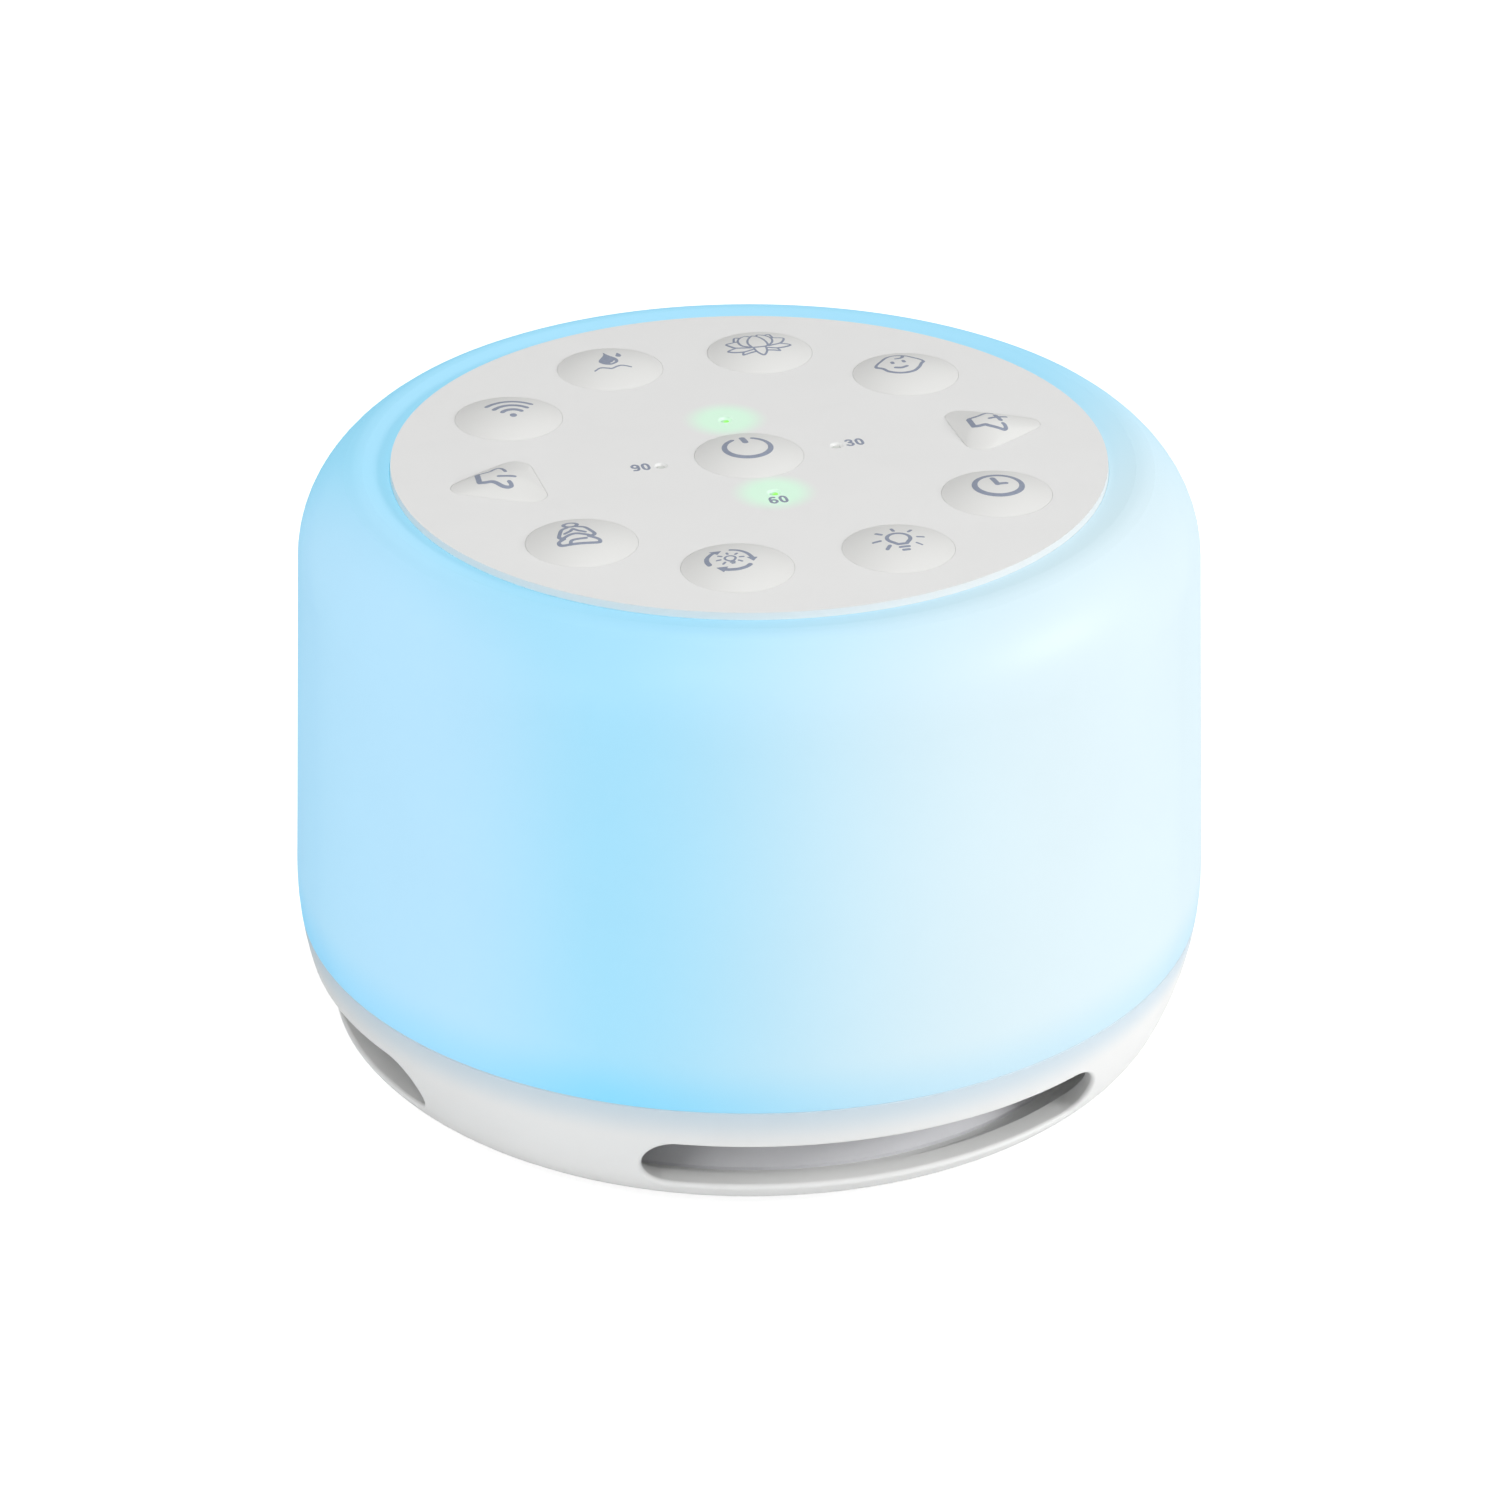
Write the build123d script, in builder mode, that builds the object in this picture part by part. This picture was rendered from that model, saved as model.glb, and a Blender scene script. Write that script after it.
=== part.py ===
from build123d import *
from math import asin, cos, degrees, hypot, radians, sin
import os

os.makedirs("parts", exist_ok=True)

# White noise sound machine, millimetres. +Z is up, the front faces -Y and the origin
# lies on the table under the middle of the machine.

# ---- outer form: one curve from the bottom flat up to the gutter round the panel ----
bottom_z = 1.0                # underside of the bowl, which the feet lift off the table
bottom_flat_radius = 43.3
toe_radius = 8.0              # tight bend from the bottom flat into the side
toe_turn = 65.0
belly_radius = 36.0           # slow bend that runs on into the shade
seam_heading = 83.7           # direction of the curve where bowl and shade meet
wall_heading = 92.3           # drafted wall of the shade, leaning in by 2.3 degrees
wall_length = 39.6
shoulder_radius = 13.0
shoulder_turn = 53.0
rim_radius = 3.0
rim_turn = 44.2
seam_break = 0.12             # bevel on both edges of the seam between bowl and shade
shade_wall = 2.2

# ---- control panel and the seat that the shade gives it ----
panel_z = 72.8                # top face of the panel
panel_radius = 41.3
panel_thickness = 1.6
panel_skirt_depth = 2.6
panel_skirt_width = 1.8
panel_skirt_draft = 0.1       # by which the side leans out below the gutter
seat_gap = 0.15               # between the side of the panel and the shade
seat_width = 2.3              # ledge of the shade that the panel stands on
seat_thickness = 1.4
seat_root = 0.6               # the shade's inner face meets the ledge this far past the panel
seat_root_turn = 6.0
hook_count = 6
hook_width = 6.0
hook_thickness = 1.0
hook_gap = 0.3                # between a hook and the ledge that it reaches past
hook_barb = 1.0
hook_barb_height = 1.2
snap_gap = 0.05               # play under the barbs of hooks and latches

# ---- keys ----
key_radius = 6.3
key_crown = 1.2               # rise of the dome above the panel
key_ring_radius = 30.0
key_clearance = 0.03          # between a key and its aperture
key_flange = 1.1              # width of the collar that keeps the key under the panel
key_flange_thickness = 0.6
key_flange_gap = 0.1          # between the collar and the plate above it
key_travel = 0.5
plunger_radius = 1.5
plunger_gap = 0.05            # left above the switch when a key is fully pressed
volume_plunger_radius = 29.0  # where the volume keys' plungers and switches stand
volume_key_base = 24.9        # from the axis to the volume keys' short side
volume_key_sharp_length = 11.7  # of the triangle before its corners are rounded
volume_key_sharp_half = 6.8
volume_key_corner = 1.9
volume_key_bow = 0.35         # how far its sides bulge
round_key_angles = {
    "key_baby": 36,
    "key_lotus": 72,
    "key_water": 108,
    "key_white_noise": 144,
    "key_meditate": -144,
    "key_color_cycle": -108,
    "key_light": -72,
    "key_timer": -36,
}
volume_key_angles = {"key_volume_up": 0, "key_volume_down": 180}

# ---- indicator light pipe ----
pin_count = 4
pin_ring_radius = 10.5
pin_radius = 0.45
pin_length = 4.2
pin_hole_radius = 0.5
pin_mouth_radius = 0.8        # countersink at the mouth of each pin hole
pin_sink = 0.2                # the tips end just below the panel face
pin_web = 1.1                 # square section of the ring that joins the pins

# ---- keypad board ----
board_thickness = 1.2
key_board_top = 67.0
key_board_radius = 37.0
switch_size = 4.5
switch_height = 1.6
switch_stem_radius = 1.2
switch_stem_height = 0.2
led_length = 1.6
led_width = 0.8
led_height = 0.7
boss_ring_radius = 18.5

# ---- small screws of boards, tower and loudspeaker, four to a ring at 45 degrees ----
screw_count = 4
first_screw_angle = 45
boss_radius = 2.5
small_screw_radius = 0.95
small_pilot_radius = 1.0      # hole in a boss, in which the screw holds
small_hole_radius = 1.1       # hole that a screw passes through
small_screw_reach = 3.2       # of a screw into its boss
small_pilot_depth = 3.6
small_head_radius = 2.0
small_head_height = 1.2
cross_length = 1.3            # cross recess in a screw head, as shares of the head's radius
cross_width = 0.3
cross_depth = 0.5             # as a share of the head's height

# ---- base bowl ----
bowl_inner_radius = 51.3
bowl_inner_bend = 12.6        # bend of the inner wall down to the floor
bowl_bend_top = 14.4          # height at which that bend starts, also the deck's underside
floor_top = 3.0
slot_width = 54.1
slot_height = 6.7
slot_mid_z = 8.55
slot_cut_start = 36.0         # the slots are cut from here outward
slot_cut_length = 20.0
slot_angles = (2.6, -94.7, 99.9)   # middles of the sound slots, from the front
slot_edge_round = 0.4
solid_side = 165              # direction with no slot, post or inlet, also from the front
post_ring_radius = 38.2
post_angles = (-46, 51, 150, -145)
post_radius = 3.75
screw_radius = 1.5
screw_hole_radius = 1.6
screw_pilot_radius = 1.55
screw_length = 13.5
screw_head_radius = 2.7
screw_head_height = 2.4
head_recess_radius = 2.8
head_seat_z = 5.0
foot_radius = 4.7             # of the recess; the foot itself is foot_gap smaller
foot_gap = 0.1
foot_recess = 0.6
foot_bevel = 0.35

# ---- chassis deck and the latches that hold the shade's foot flange ----
deck_thickness = 2.0
deck_radius = 51.1
deck_boss_top = 21.0
deck_boss_roof = 1.5          # left above each screw hole
collar_radius = 49.0
collar_width = 1.4
shade_flange_thickness = 1.4
shade_flange_gap = 0.3        # between that flange and the collar
latch_count = 6
latch_width = 8.0
latch_reach = 1.1
latch_height = 1.5
speaker_hole_radius = 23.0

# ---- reflector tower ----
tower_foot_radius = 34.0
tower_radius = 33.0
tower_top_radius = 31.0
tower_wall = 1.6
tower_top = 62.5
tower_ear_angles = (0, 100, -100)  # from the front
tower_ear_inner = 31.7        # each ear is a round-ended tab that reaches out from here
tower_ear_outer = 39.3
tower_ear_width = 5.6
tower_screw_reach = 4.2       # below the ears, into the bosses under the deck
tower_boss_depth = 3.0
board_post_ring_radius = 22.0
board_post_height = 6.0
board_post_bore = 5.0
ribbon_y = 16.0
ribbon_width = 10.0
ribbon_thickness = 0.3
ribbon_slit_length = 12.0
ribbon_slit_width = 3.0

# ---- main board ----
main_board_radius = 27.0
chip_height = 1.6
large_chip_size = (9.0, 7.0)
large_chip_places = ((-8, 4), (9, -2))
small_chip_size = (5.0, 4.0)
small_chip_place = (-6, -12)
capacitor_radius = 3.15
capacitor_height = 7.5
capacitor_places = ((6, 12), (15, 8), (5, -16))
connector_length = 11.6
connector_width = 2.6
connector_height = 2.0

# ---- night light ----
lamp_board_inner = 42.4
lamp_board_outer = 47.2
lamp_count = 18
lamp_size = 3.0
lamp_height = 1.4

# ---- loudspeaker, which fires down ----
gasket_thickness = 0.8
flange_thickness = 1.5
flange_outer = 26.5
flange_inner = 21.8
speaker_screw_ring = 24.8
speaker_head_radius = 1.7
speaker_gap = 0.35            # air gap of the moving parts
basket_gap = 0.4              # between the basket and the hole in the deck
basket_neck_outer = 14.6
basket_neck_inner = 13.6
basket_neck_thickness = 1.5
basket_fold = 1.0             # how far below the deck's top the basket turns inward
window_count = 4
window_start = 14.2           # the basket's windows are cut from here outward
window_depth = 12.0
window_top_half = 5.0
window_foot_half = 8.0
window_top_drop = 2.3
window_foot_rise = 0.8
magnet_z = 24.2
magnet_height = 7.0
magnet_radius = 16.0
magnet_bore = 9.0
yoke_radius = 14.5
yoke_thickness = 1.8
former_radius = 7.05
former_wall = 0.3
former_length = 8.0
cone_edge_radius = 18.6
cone_edge_drop = 0.4          # of the cone's edge below the mounting face of the flange
cone_neck_z = 18.6
cone_middle = (12.0, 15.6)    # point that the flare of the cone passes, radius and height
cone_under_middle = (11.8, 15.1)
cone_paper = 0.5
cap_radius = 11.7             # of the dust cap's sphere
cap_turn = 33.0
cap_drop = 3.2                # from the neck of the cone to the lowest point of the cap
cap_paper = 0.4
roll_height = 1.4             # half roll of the surround
roll_wall = 0.4
roll_edge_gap = 0.05
roll_drop = 0.5
spider_z = 19.6
spider_radius = 14.6
spider_thickness = 0.4

# ---- leads, round in section, each in an upright plane that runs front to rear ----
lead_side = 3.0               # the power lead runs this far to one side, the lamp lead to the other
power_lead_radius = 0.9
lamp_lead_radius = 0.7
speaker_wire_radius = 0.5
power_lead_bends = (3.2, 8.0, 4.5)
lamp_lead_bends = (3.6, 8.0, 4.8)
speaker_wire_bends = (3.0, 3.0)
speaker_wire_side = 1.3
lead_hole_gap = 0.2
lead_riser_y = 28.8           # where the power lead climbs through the deck
lamp_riser_y = 27.5
lead_bend_z = 38.0            # here the leads lean in towards their plugs
lead_entry_z = 44.0
plug_y = 21.5
plug_size = (5.0, 4.0)
plug_height = 5.0
lamp_plug_size = (4.0, 3.0)
lamp_plug_height = 2.4
lamp_lead_z = 19.2
speaker_plug_y = -5.0
terminal_y = 3.0
terminal_size = (6.0, 4.0)
terminal_height = 2.0
wire_bend_z = 39.5

# ---- sound deflector ----
deflector_radius = 43.2
deflector_edge = 0.4
deflector_slope_middle = (39.6, 6.2)   # points of its outline, radius and height
deflector_shoulder = (33.0, 7.4)
deflector_hill_middle = (18.0, 7.7)
deflector_top = 10.4
deflector_post_gap = 0.3
deflector_notch = (11.0, 14.0)         # opening for the power inlet
deflector_notch_y = 40.0

# ---- power inlet ----
inlet_z = 10.2
inlet_nose_radius = 3.5
inlet_bore_radius = 2.8
inlet_bore_depth = 9.5
inlet_pin_radius = 1.0
inlet_hole_radius = 3.7
inlet_hole_start = 40.0
inlet_hole_length = 15.0
inlet_box_start = 36.0
inlet_box_length = 10.5
inlet_box_width = 9.0
inlet_box_height = 8.4
inlet_nose_length = 4.9

deck_z = bowl_bend_top
deck_top = deck_z + deck_thickness
plate_underside = panel_z - panel_thickness
seat_z = panel_z - panel_skirt_depth
seat_inner = panel_radius + seat_gap - seat_width
ledge_underside = seat_z - seat_thickness
main_board_top = tower_top - tower_wall - board_post_height
main_board_under = main_board_top - board_thickness
yoke_top = magnet_z + magnet_height + yoke_thickness
lamp_ring_radius = (lamp_board_inner + lamp_board_outer) / 2


def ring_point(radius, angle):
    """Point of the XY plane at an angle counted from +X."""
    return (radius * cos(radians(angle)), radius * sin(radians(angle)))


def from_front(angle):
    """Turn an angle counted from the front (-Y) into one counted from +X."""
    return angle - 90


def upright(angle, depth=0.0):
    """Vertical plane that faces outward at an angle, its X level and its Y up."""
    x, y = ring_point(1.0, angle)
    return Plane(origin=(depth * x, depth * y, 0), x_dir=(-y, x, 0), z_dir=(x, y, 0))


def section_at(radius, angle):
    """Vertical section plane through an upright axis at a point of the panel."""
    x, y = ring_point(radius, angle)
    return Plane(origin=(x, y, 0), x_dir=(1, 0, 0), z_dir=(0, -1, 0))


def half_plane(angle):
    """Vertical plane through the middle, its X running outward at an angle."""
    x, y = ring_point(1.0, angle)
    return Plane(origin=(0, 0, 0), x_dir=(x, y, 0), z_dir=(y, -x, 0))


def export(piece, name):
    piece.label = name
    export_step(piece, f"parts/{name}.step")


def screw_ring(radius):
    """Places of four small screws on a ring."""
    angles = [first_screw_angle + index * 360 / screw_count for index in range(screw_count)]
    return [ring_point(radius, angle) for angle in angles]


def screw_group(places, seat, shank, head_radius, head_height, shank_radius):
    """Screws with cross recesses, their heads on a face at height seat. The shank points up
    where its length is above zero, and down where it is below."""
    head = -head_height if shank > 0 else head_height
    with BuildPart() as screws:
        with BuildSketch(Plane.XY.offset(seat)):
            with Locations(*places):
                Circle(head_radius)
        extrude(amount=head)
        with BuildSketch(Plane.XY.offset(seat)):
            with Locations(*places):
                Circle(shank_radius)
        extrude(amount=shank)
        with BuildSketch(Plane.XY.offset(seat + head)):
            with Locations(*places):
                Rectangle(head_radius * cross_length, head_radius * cross_width)
                Rectangle(head_radius * cross_width, head_radius * cross_length)
        extrude(amount=-head * cross_depth, mode=Mode.SUBTRACT)
    return screws.part


post_places = [ring_point(post_ring_radius, from_front(angle)) for angle in post_angles]


# ---- the outer curve, drawn once for the bowl and the shade ----
with BuildLine() as bowl_curve:
    toe = JernArc((bottom_flat_radius, bottom_z), (1, 0), toe_radius, toe_turn)
    belly = JernArc(toe @ 1, toe % 1, belly_radius, seam_heading - toe_turn)
seam = belly @ 1
seam_z = seam.Y

with BuildLine() as shade_curve:
    belly_end = JernArc(seam, belly % 1, belly_radius, wall_heading - seam_heading)
    wall = PolarLine(belly_end @ 1, wall_length, wall_heading)
    shoulder = JernArc(wall @ 1, wall % 1, shoulder_radius, shoulder_turn)
    rim = JernArc(shoulder @ 1, shoulder % 1, rim_radius, rim_turn)
    gutter = PolarLine(
        rim @ 1,
        (rim @ 1).X - panel_radius - seat_gap,
        wall_heading + shoulder_turn + rim_turn,
        length_mode=LengthMode.HORIZONTAL,
    )
gutter_end = gutter @ 1


def on_bowl_face(edge):
    """True for an edge that a slot cuts into the outer face of the bowl."""
    middle = edge.position_at(0.5)
    on_curve = Vector((middle.X**2 + middle.Y**2) ** 0.5, middle.Z)
    off_toe = abs((on_curve - toe.arc_center).length - toe_radius)
    off_belly = abs((on_curve - belly.arc_center).length - belly_radius)
    turned = edge.geom_type == GeomType.CIRCLE and abs(edge.arc_center.X) < 0.01
    return min(off_toe, off_belly) < 0.01 and not turned


def widest_circle(edges):
    return edges.filter_by(GeomType.CIRCLE).sort_by(SortBy.RADIUS)[-1]


# ---- base bowl: shell, screw posts, sound slots, inlet hole and feet recesses ----
with BuildPart() as base_bowl:
    with BuildSketch(half_plane(from_front(solid_side))):
        with BuildLine():
            add(bowl_curve.line)
            rim_land = Line(seam, (bowl_inner_radius, seam_z))
            inner_wall = Line(rim_land @ 1, (bowl_inner_radius, bowl_bend_top))
            bend_turn = degrees(asin((bowl_bend_top - floor_top) / bowl_inner_bend))
            inner_bend = JernArc(inner_wall @ 1, (0, -1), bowl_inner_bend, -bend_turn)
            Polyline(
                inner_bend @ 1,
                (0, floor_top),
                (0, bottom_z),
                (bottom_flat_radius, bottom_z),
            )
        make_face()
    revolve(axis=Axis.Z)

    for angle in slot_angles:
        with BuildSketch(upright(from_front(angle), depth=slot_cut_start)):
            with Locations((0, slot_mid_z)):
                SlotOverall(slot_width, slot_height)
        extrude(amount=slot_cut_length, mode=Mode.SUBTRACT)

    fillet(base_bowl.edges().filter_by(on_bowl_face), radius=slot_edge_round)
    chamfer(widest_circle(base_bowl.edges().group_by(Axis.Z)[-1]), length=seam_break)

    with BuildSketch(Plane.XY.offset(floor_top)):
        with Locations(*post_places):
            Circle(post_radius)
    extrude(amount=deck_z - floor_top)

    with BuildSketch(Plane.XY.offset(bottom_z)):
        with Locations(*post_places):
            Circle(foot_radius)
    extrude(amount=foot_recess, mode=Mode.SUBTRACT)
    with BuildSketch(Plane.XY.offset(bottom_z)):
        with Locations(*post_places):
            Circle(head_recess_radius)
    extrude(amount=head_seat_z - bottom_z, mode=Mode.SUBTRACT)
    with BuildSketch(Plane.XY.offset(bottom_z)):
        with Locations(*post_places):
            Circle(screw_hole_radius)
    extrude(amount=deck_z, mode=Mode.SUBTRACT)

    with BuildSketch(upright(from_front(180), depth=inlet_hole_start)):
        with Locations((0, inlet_z)):
            Circle(inlet_hole_radius)
    extrude(amount=inlet_hole_length, mode=Mode.SUBTRACT)
export(base_bowl.part, "base_bowl")


# ---- diffuser shade: even wall, rounded shoulder, gutter, the panel's seat, foot flange ----
with BuildPart() as diffuser_shade:
    with BuildSketch(Plane.XZ):
        with BuildLine():
            add(shade_curve.line)
            inner_belly = JernArc(
                seam + Vector(-shade_wall, 0),
                belly % 1,
                belly_radius - shade_wall,
                wall_heading - seam_heading,
            )
            inner_side = PolarLine(inner_belly @ 1, wall_length, wall_heading)
            inner_shoulder = JernArc(
                inner_side @ 1,
                inner_side % 1,
                shoulder_radius - shade_wall,
                shoulder_turn - seat_root_turn,
            )
            Polyline(
                inner_shoulder @ 1,
                (panel_radius + seat_root, ledge_underside),
                (seat_inner, ledge_underside),
                (seat_inner, seat_z),
                (panel_radius + seat_gap, seat_z),
                gutter_end,
            )
            Line(seam, seam + Vector(-shade_wall, 0))
        make_face()
    revolve(axis=Axis.Z)
    with BuildSketch(Plane.XY.offset(seam_z)):
        Circle(seam.X - shade_wall / 2)
        Circle(collar_radius + shade_flange_gap, mode=Mode.SUBTRACT)
    extrude(amount=shade_flange_thickness)
    chamfer(widest_circle(diffuser_shade.edges().group_by(Axis.Z)[0]), length=seam_break)
export(diffuser_shade.part, "diffuser_shade")


# ---- keys ----
volume_key_side = hypot(volume_key_sharp_length, volume_key_sharp_half)
volume_key_inradius = (
    volume_key_sharp_length * volume_key_sharp_half / (volume_key_side + volume_key_sharp_half)
)
volume_key_middle = volume_key_base + volume_key_inradius


def volume_outline(grow=0.0, share=1.0, corner=volume_key_corner):
    """Rounded triangle that points along +X, shrunk about its middle to a share of its size."""
    base_x = volume_key_middle - share * volume_key_inradius
    tip_x = volume_key_middle + share * (volume_key_sharp_length - volume_key_inradius)
    half = share * volume_key_sharp_half
    with BuildSketch(mode=Mode.PRIVATE) as outline:
        with BuildLine():
            base = Line((base_x, -half), (base_x, half))
            upper_side = SagittaArc(base @ 1, (tip_x, 0), share * volume_key_bow)
            SagittaArc(upper_side @ 1, base @ 0, share * volume_key_bow)
        make_face()
        fillet(outline.vertices(), radius=corner)
        if grow:
            offset(amount=grow)
    return outline.sketch


dome_radius = (key_radius**2 + key_crown**2) / (2 * key_crown)
flange_top = plate_underside - key_flange_gap
flange_bottom = flange_top - key_flange_thickness
switch_top = key_board_top + switch_height + switch_stem_height
plunger_bottom = switch_top + key_travel + plunger_gap


def round_key(radius, angle):
    """Domed cap, collar and plunger turned about the key's own axis."""
    x, y = ring_point(radius, angle)
    with BuildPart() as key:
        with BuildSketch(section_at(radius, angle)):
            with BuildLine():
                dome = JernArc(
                    (0, panel_z + key_crown),
                    (1, 0),
                    dome_radius,
                    -degrees(asin(key_radius / dome_radius)),
                )
                Polyline(
                    dome @ 1,
                    (key_radius, flange_top),
                    (key_radius + key_flange, flange_top),
                    (key_radius + key_flange, flange_bottom),
                    (plunger_radius, flange_bottom),
                    (plunger_radius, plunger_bottom),
                    (0, plunger_bottom),
                    dome @ 0,
                )
            make_face()
        revolve(axis=Axis((x, y, 0), (0, 0, 1)))
    return key.part


# Shares of the outline that the crown is lofted through, with their corner radii: the
# corners stay large as the outline shrinks, so that the crown has no ridges.
crown_steps = ((1.0, 1.9), (0.85, 2.2), (0.65, 2.2), (0.42, 1.55), (0.15, 0.55))


def volume_key(angle):
    """Rounded-triangle key with a smooth crown."""
    with BuildPart() as key:
        for share, corner in crown_steps:
            rise = key_crown * (1 - share**2)
            with BuildSketch(Plane.XY.offset(panel_z + rise)):
                add(volume_outline(share=share, corner=corner))
        loft()
        with BuildSketch(Plane.XY.offset(panel_z)):
            add(volume_outline())
        extrude(amount=flange_top - panel_z)
        with BuildSketch(Plane.XY.offset(flange_top)):
            add(volume_outline(grow=key_flange))
        extrude(amount=-key_flange_thickness)
        with BuildSketch(Plane.XY.offset(flange_bottom)):
            with Locations((volume_plunger_radius, 0)):
                Circle(plunger_radius)
        extrude(amount=plunger_bottom - flange_bottom)
    return key.part.rotate(Axis.Z, angle)


export(round_key(0, 0), "key_power")
for name, angle in round_key_angles.items():
    export(round_key(key_ring_radius, angle), name)
for name, angle in volume_key_angles.items():
    export(volume_key(angle), name)


# ---- control panel: plate with apertures, skirt, screw bosses and snap hooks ----
with BuildPart() as control_panel:
    with BuildSketch(Plane.XZ):
        with BuildLine():
            Polyline(
                (0, panel_z),
                (panel_radius, panel_z),
                (panel_radius + panel_skirt_draft, gutter_end.Y),
                (panel_radius + panel_skirt_draft, seat_z),
                (panel_radius - panel_skirt_width, seat_z),
                (panel_radius - panel_skirt_width, plate_underside),
                (0, plate_underside),
                (0, panel_z),
            )
        make_face()
    revolve(axis=Axis.Z)

    with BuildSketch(Plane.XY.offset(panel_z)):
        Circle(key_radius + key_clearance)
        for angle in round_key_angles.values():
            with Locations(ring_point(key_ring_radius, angle)):
                Circle(key_radius + key_clearance)
        for angle in volume_key_angles.values():
            add(volume_outline(grow=key_clearance).rotate(Axis.Z, angle))
    extrude(amount=-panel_thickness, mode=Mode.SUBTRACT)
    with Locations(Plane.XY.offset(panel_z)):
        with PolarLocations(pin_ring_radius, pin_count):
            CounterSinkHole(
                radius=pin_hole_radius,
                counter_sink_radius=pin_mouth_radius,
                depth=panel_thickness,
                counter_sink_angle=90,
            )

    with BuildSketch(Plane.XY.offset(plate_underside)):
        with Locations(*screw_ring(boss_ring_radius)):
            Circle(boss_radius)
    extrude(amount=key_board_top - plate_underside)
    with BuildSketch(Plane.XY.offset(key_board_top)):
        with Locations(*screw_ring(boss_ring_radius)):
            Circle(small_pilot_radius)
    extrude(amount=small_pilot_depth, mode=Mode.SUBTRACT)

    hook_outer = seat_inner - hook_gap
    hook_inner = hook_outer - hook_thickness
    barb_z = ledge_underside - snap_gap
    for index in range(hook_count):
        with BuildSketch(half_plane((index + 0.5) * 360 / hook_count)):
            with BuildLine():
                Polyline(
                    (hook_inner, plate_underside),
                    (hook_outer, plate_underside),
                    (hook_outer, barb_z),
                    (hook_outer + hook_barb, barb_z),
                    (hook_outer, barb_z - hook_barb_height),
                    (hook_inner, barb_z - hook_barb_height),
                    (hook_inner, plate_underside),
                )
            make_face()
        extrude(amount=hook_width / 2, both=True)
export(control_panel.part, "control_panel")


# ---- indicator light pipe: a ring under the panel with four pins ----
with BuildPart() as indicator_light_pipe:
    with BuildSketch(Plane.XY.offset(plate_underside)):
        Circle(pin_ring_radius + pin_web / 2)
        Circle(pin_ring_radius - pin_web / 2, mode=Mode.SUBTRACT)
    extrude(amount=-pin_web)
    with BuildSketch(Plane.XY.offset(panel_z - pin_sink)):
        with PolarLocations(pin_ring_radius, pin_count):
            Circle(pin_radius)
    extrude(amount=-pin_length)
export(indicator_light_pipe.part, "indicator_light_pipe")


# ---- keypad board with its switches, indicator LEDs and screws ----
switch_places = [(0, 0)]
switch_places += [ring_point(key_ring_radius, angle) for angle in round_key_angles.values()]
switch_places += [ring_point(volume_plunger_radius, angle) for angle in volume_key_angles.values()]

with BuildPart() as key_board:
    with BuildSketch(Plane.XY.offset(key_board_top)):
        Circle(key_board_radius)
        with Locations(*screw_ring(boss_ring_radius)):
            Circle(small_hole_radius, mode=Mode.SUBTRACT)
    extrude(amount=-board_thickness)
export(key_board.part, "key_board")

with BuildPart() as tact_switches:
    with BuildSketch(Plane.XY.offset(key_board_top)):
        with Locations(*switch_places):
            Rectangle(switch_size, switch_size)
    extrude(amount=switch_height)
    with BuildSketch(Plane.XY.offset(key_board_top + switch_height)):
        with Locations(*switch_places):
            Circle(switch_stem_radius)
    extrude(amount=switch_stem_height)
export(tact_switches.part, "tact_switches")

with BuildPart() as indicator_leds:
    with BuildSketch(Plane.XY.offset(key_board_top)):
        with PolarLocations(pin_ring_radius, pin_count):
            Rectangle(led_length, led_width)
    extrude(amount=led_height)
export(indicator_leds.part, "indicator_leds")

export(
    screw_group(
        screw_ring(boss_ring_radius),
        key_board_top - board_thickness,
        board_thickness + small_screw_reach,
        small_head_radius,
        small_head_height,
        small_screw_radius,
    ),
    "key_board_screws",
)


# ---- chassis deck: plate between bowl and shade, collar with latches, screw bosses ----
tower_screw_places = [
    ring_point(tower_ear_outer - tower_ear_width / 2, from_front(angle))
    for angle in tower_ear_angles
]
latch_z = seam_z + shade_flange_thickness + snap_gap
collar_top = latch_z + latch_height
with BuildPart() as chassis_deck:
    with BuildSketch(Plane.XZ):
        with BuildLine():
            Polyline(
                (speaker_hole_radius, deck_z),
                (deck_radius, deck_z),
                (deck_radius, deck_top),
                (collar_radius, deck_top),
                (collar_radius, collar_top),
                (collar_radius - collar_width, collar_top),
                (collar_radius - collar_width, deck_top),
                (speaker_hole_radius, deck_top),
                (speaker_hole_radius, deck_z),
            )
        make_face()
    revolve(axis=Axis.Z)
    for index in range(latch_count):
        with BuildSketch(half_plane((index + 0.5) * 360 / latch_count)):
            with BuildLine():
                Polyline(
                    (collar_radius - collar_width / 2, latch_z),
                    (collar_radius + latch_reach, latch_z),
                    (collar_radius, collar_top),
                    (collar_radius - collar_width / 2, collar_top),
                    (collar_radius - collar_width / 2, latch_z),
                )
            make_face()
        extrude(amount=latch_width / 2, both=True)

    with BuildSketch(Plane.XY.offset(deck_top)):
        with Locations(*post_places):
            Circle(post_radius)
    extrude(amount=deck_boss_top - deck_top)
    with BuildSketch(Plane.XY.offset(deck_z)):
        with Locations(*post_places):
            Circle(screw_pilot_radius)
    extrude(amount=deck_boss_top - deck_z - deck_boss_roof, mode=Mode.SUBTRACT)

    with BuildSketch(Plane.XY.offset(deck_z)):
        with Locations(*tower_screw_places):
            Circle(boss_radius)
    extrude(amount=-tower_boss_depth)
    with BuildSketch(Plane.XY.offset(deck_top)):
        with Locations(*tower_screw_places):
            Circle(small_pilot_radius)
    extrude(amount=-tower_screw_reach, mode=Mode.SUBTRACT)
    with BuildSketch(Plane.XY.offset(deck_z)):
        with Locations((-lead_side, lead_riser_y)):
            Circle(power_lead_radius + lead_hole_gap)
    extrude(amount=deck_thickness, mode=Mode.SUBTRACT)
export(chassis_deck.part, "chassis_deck")


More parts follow.
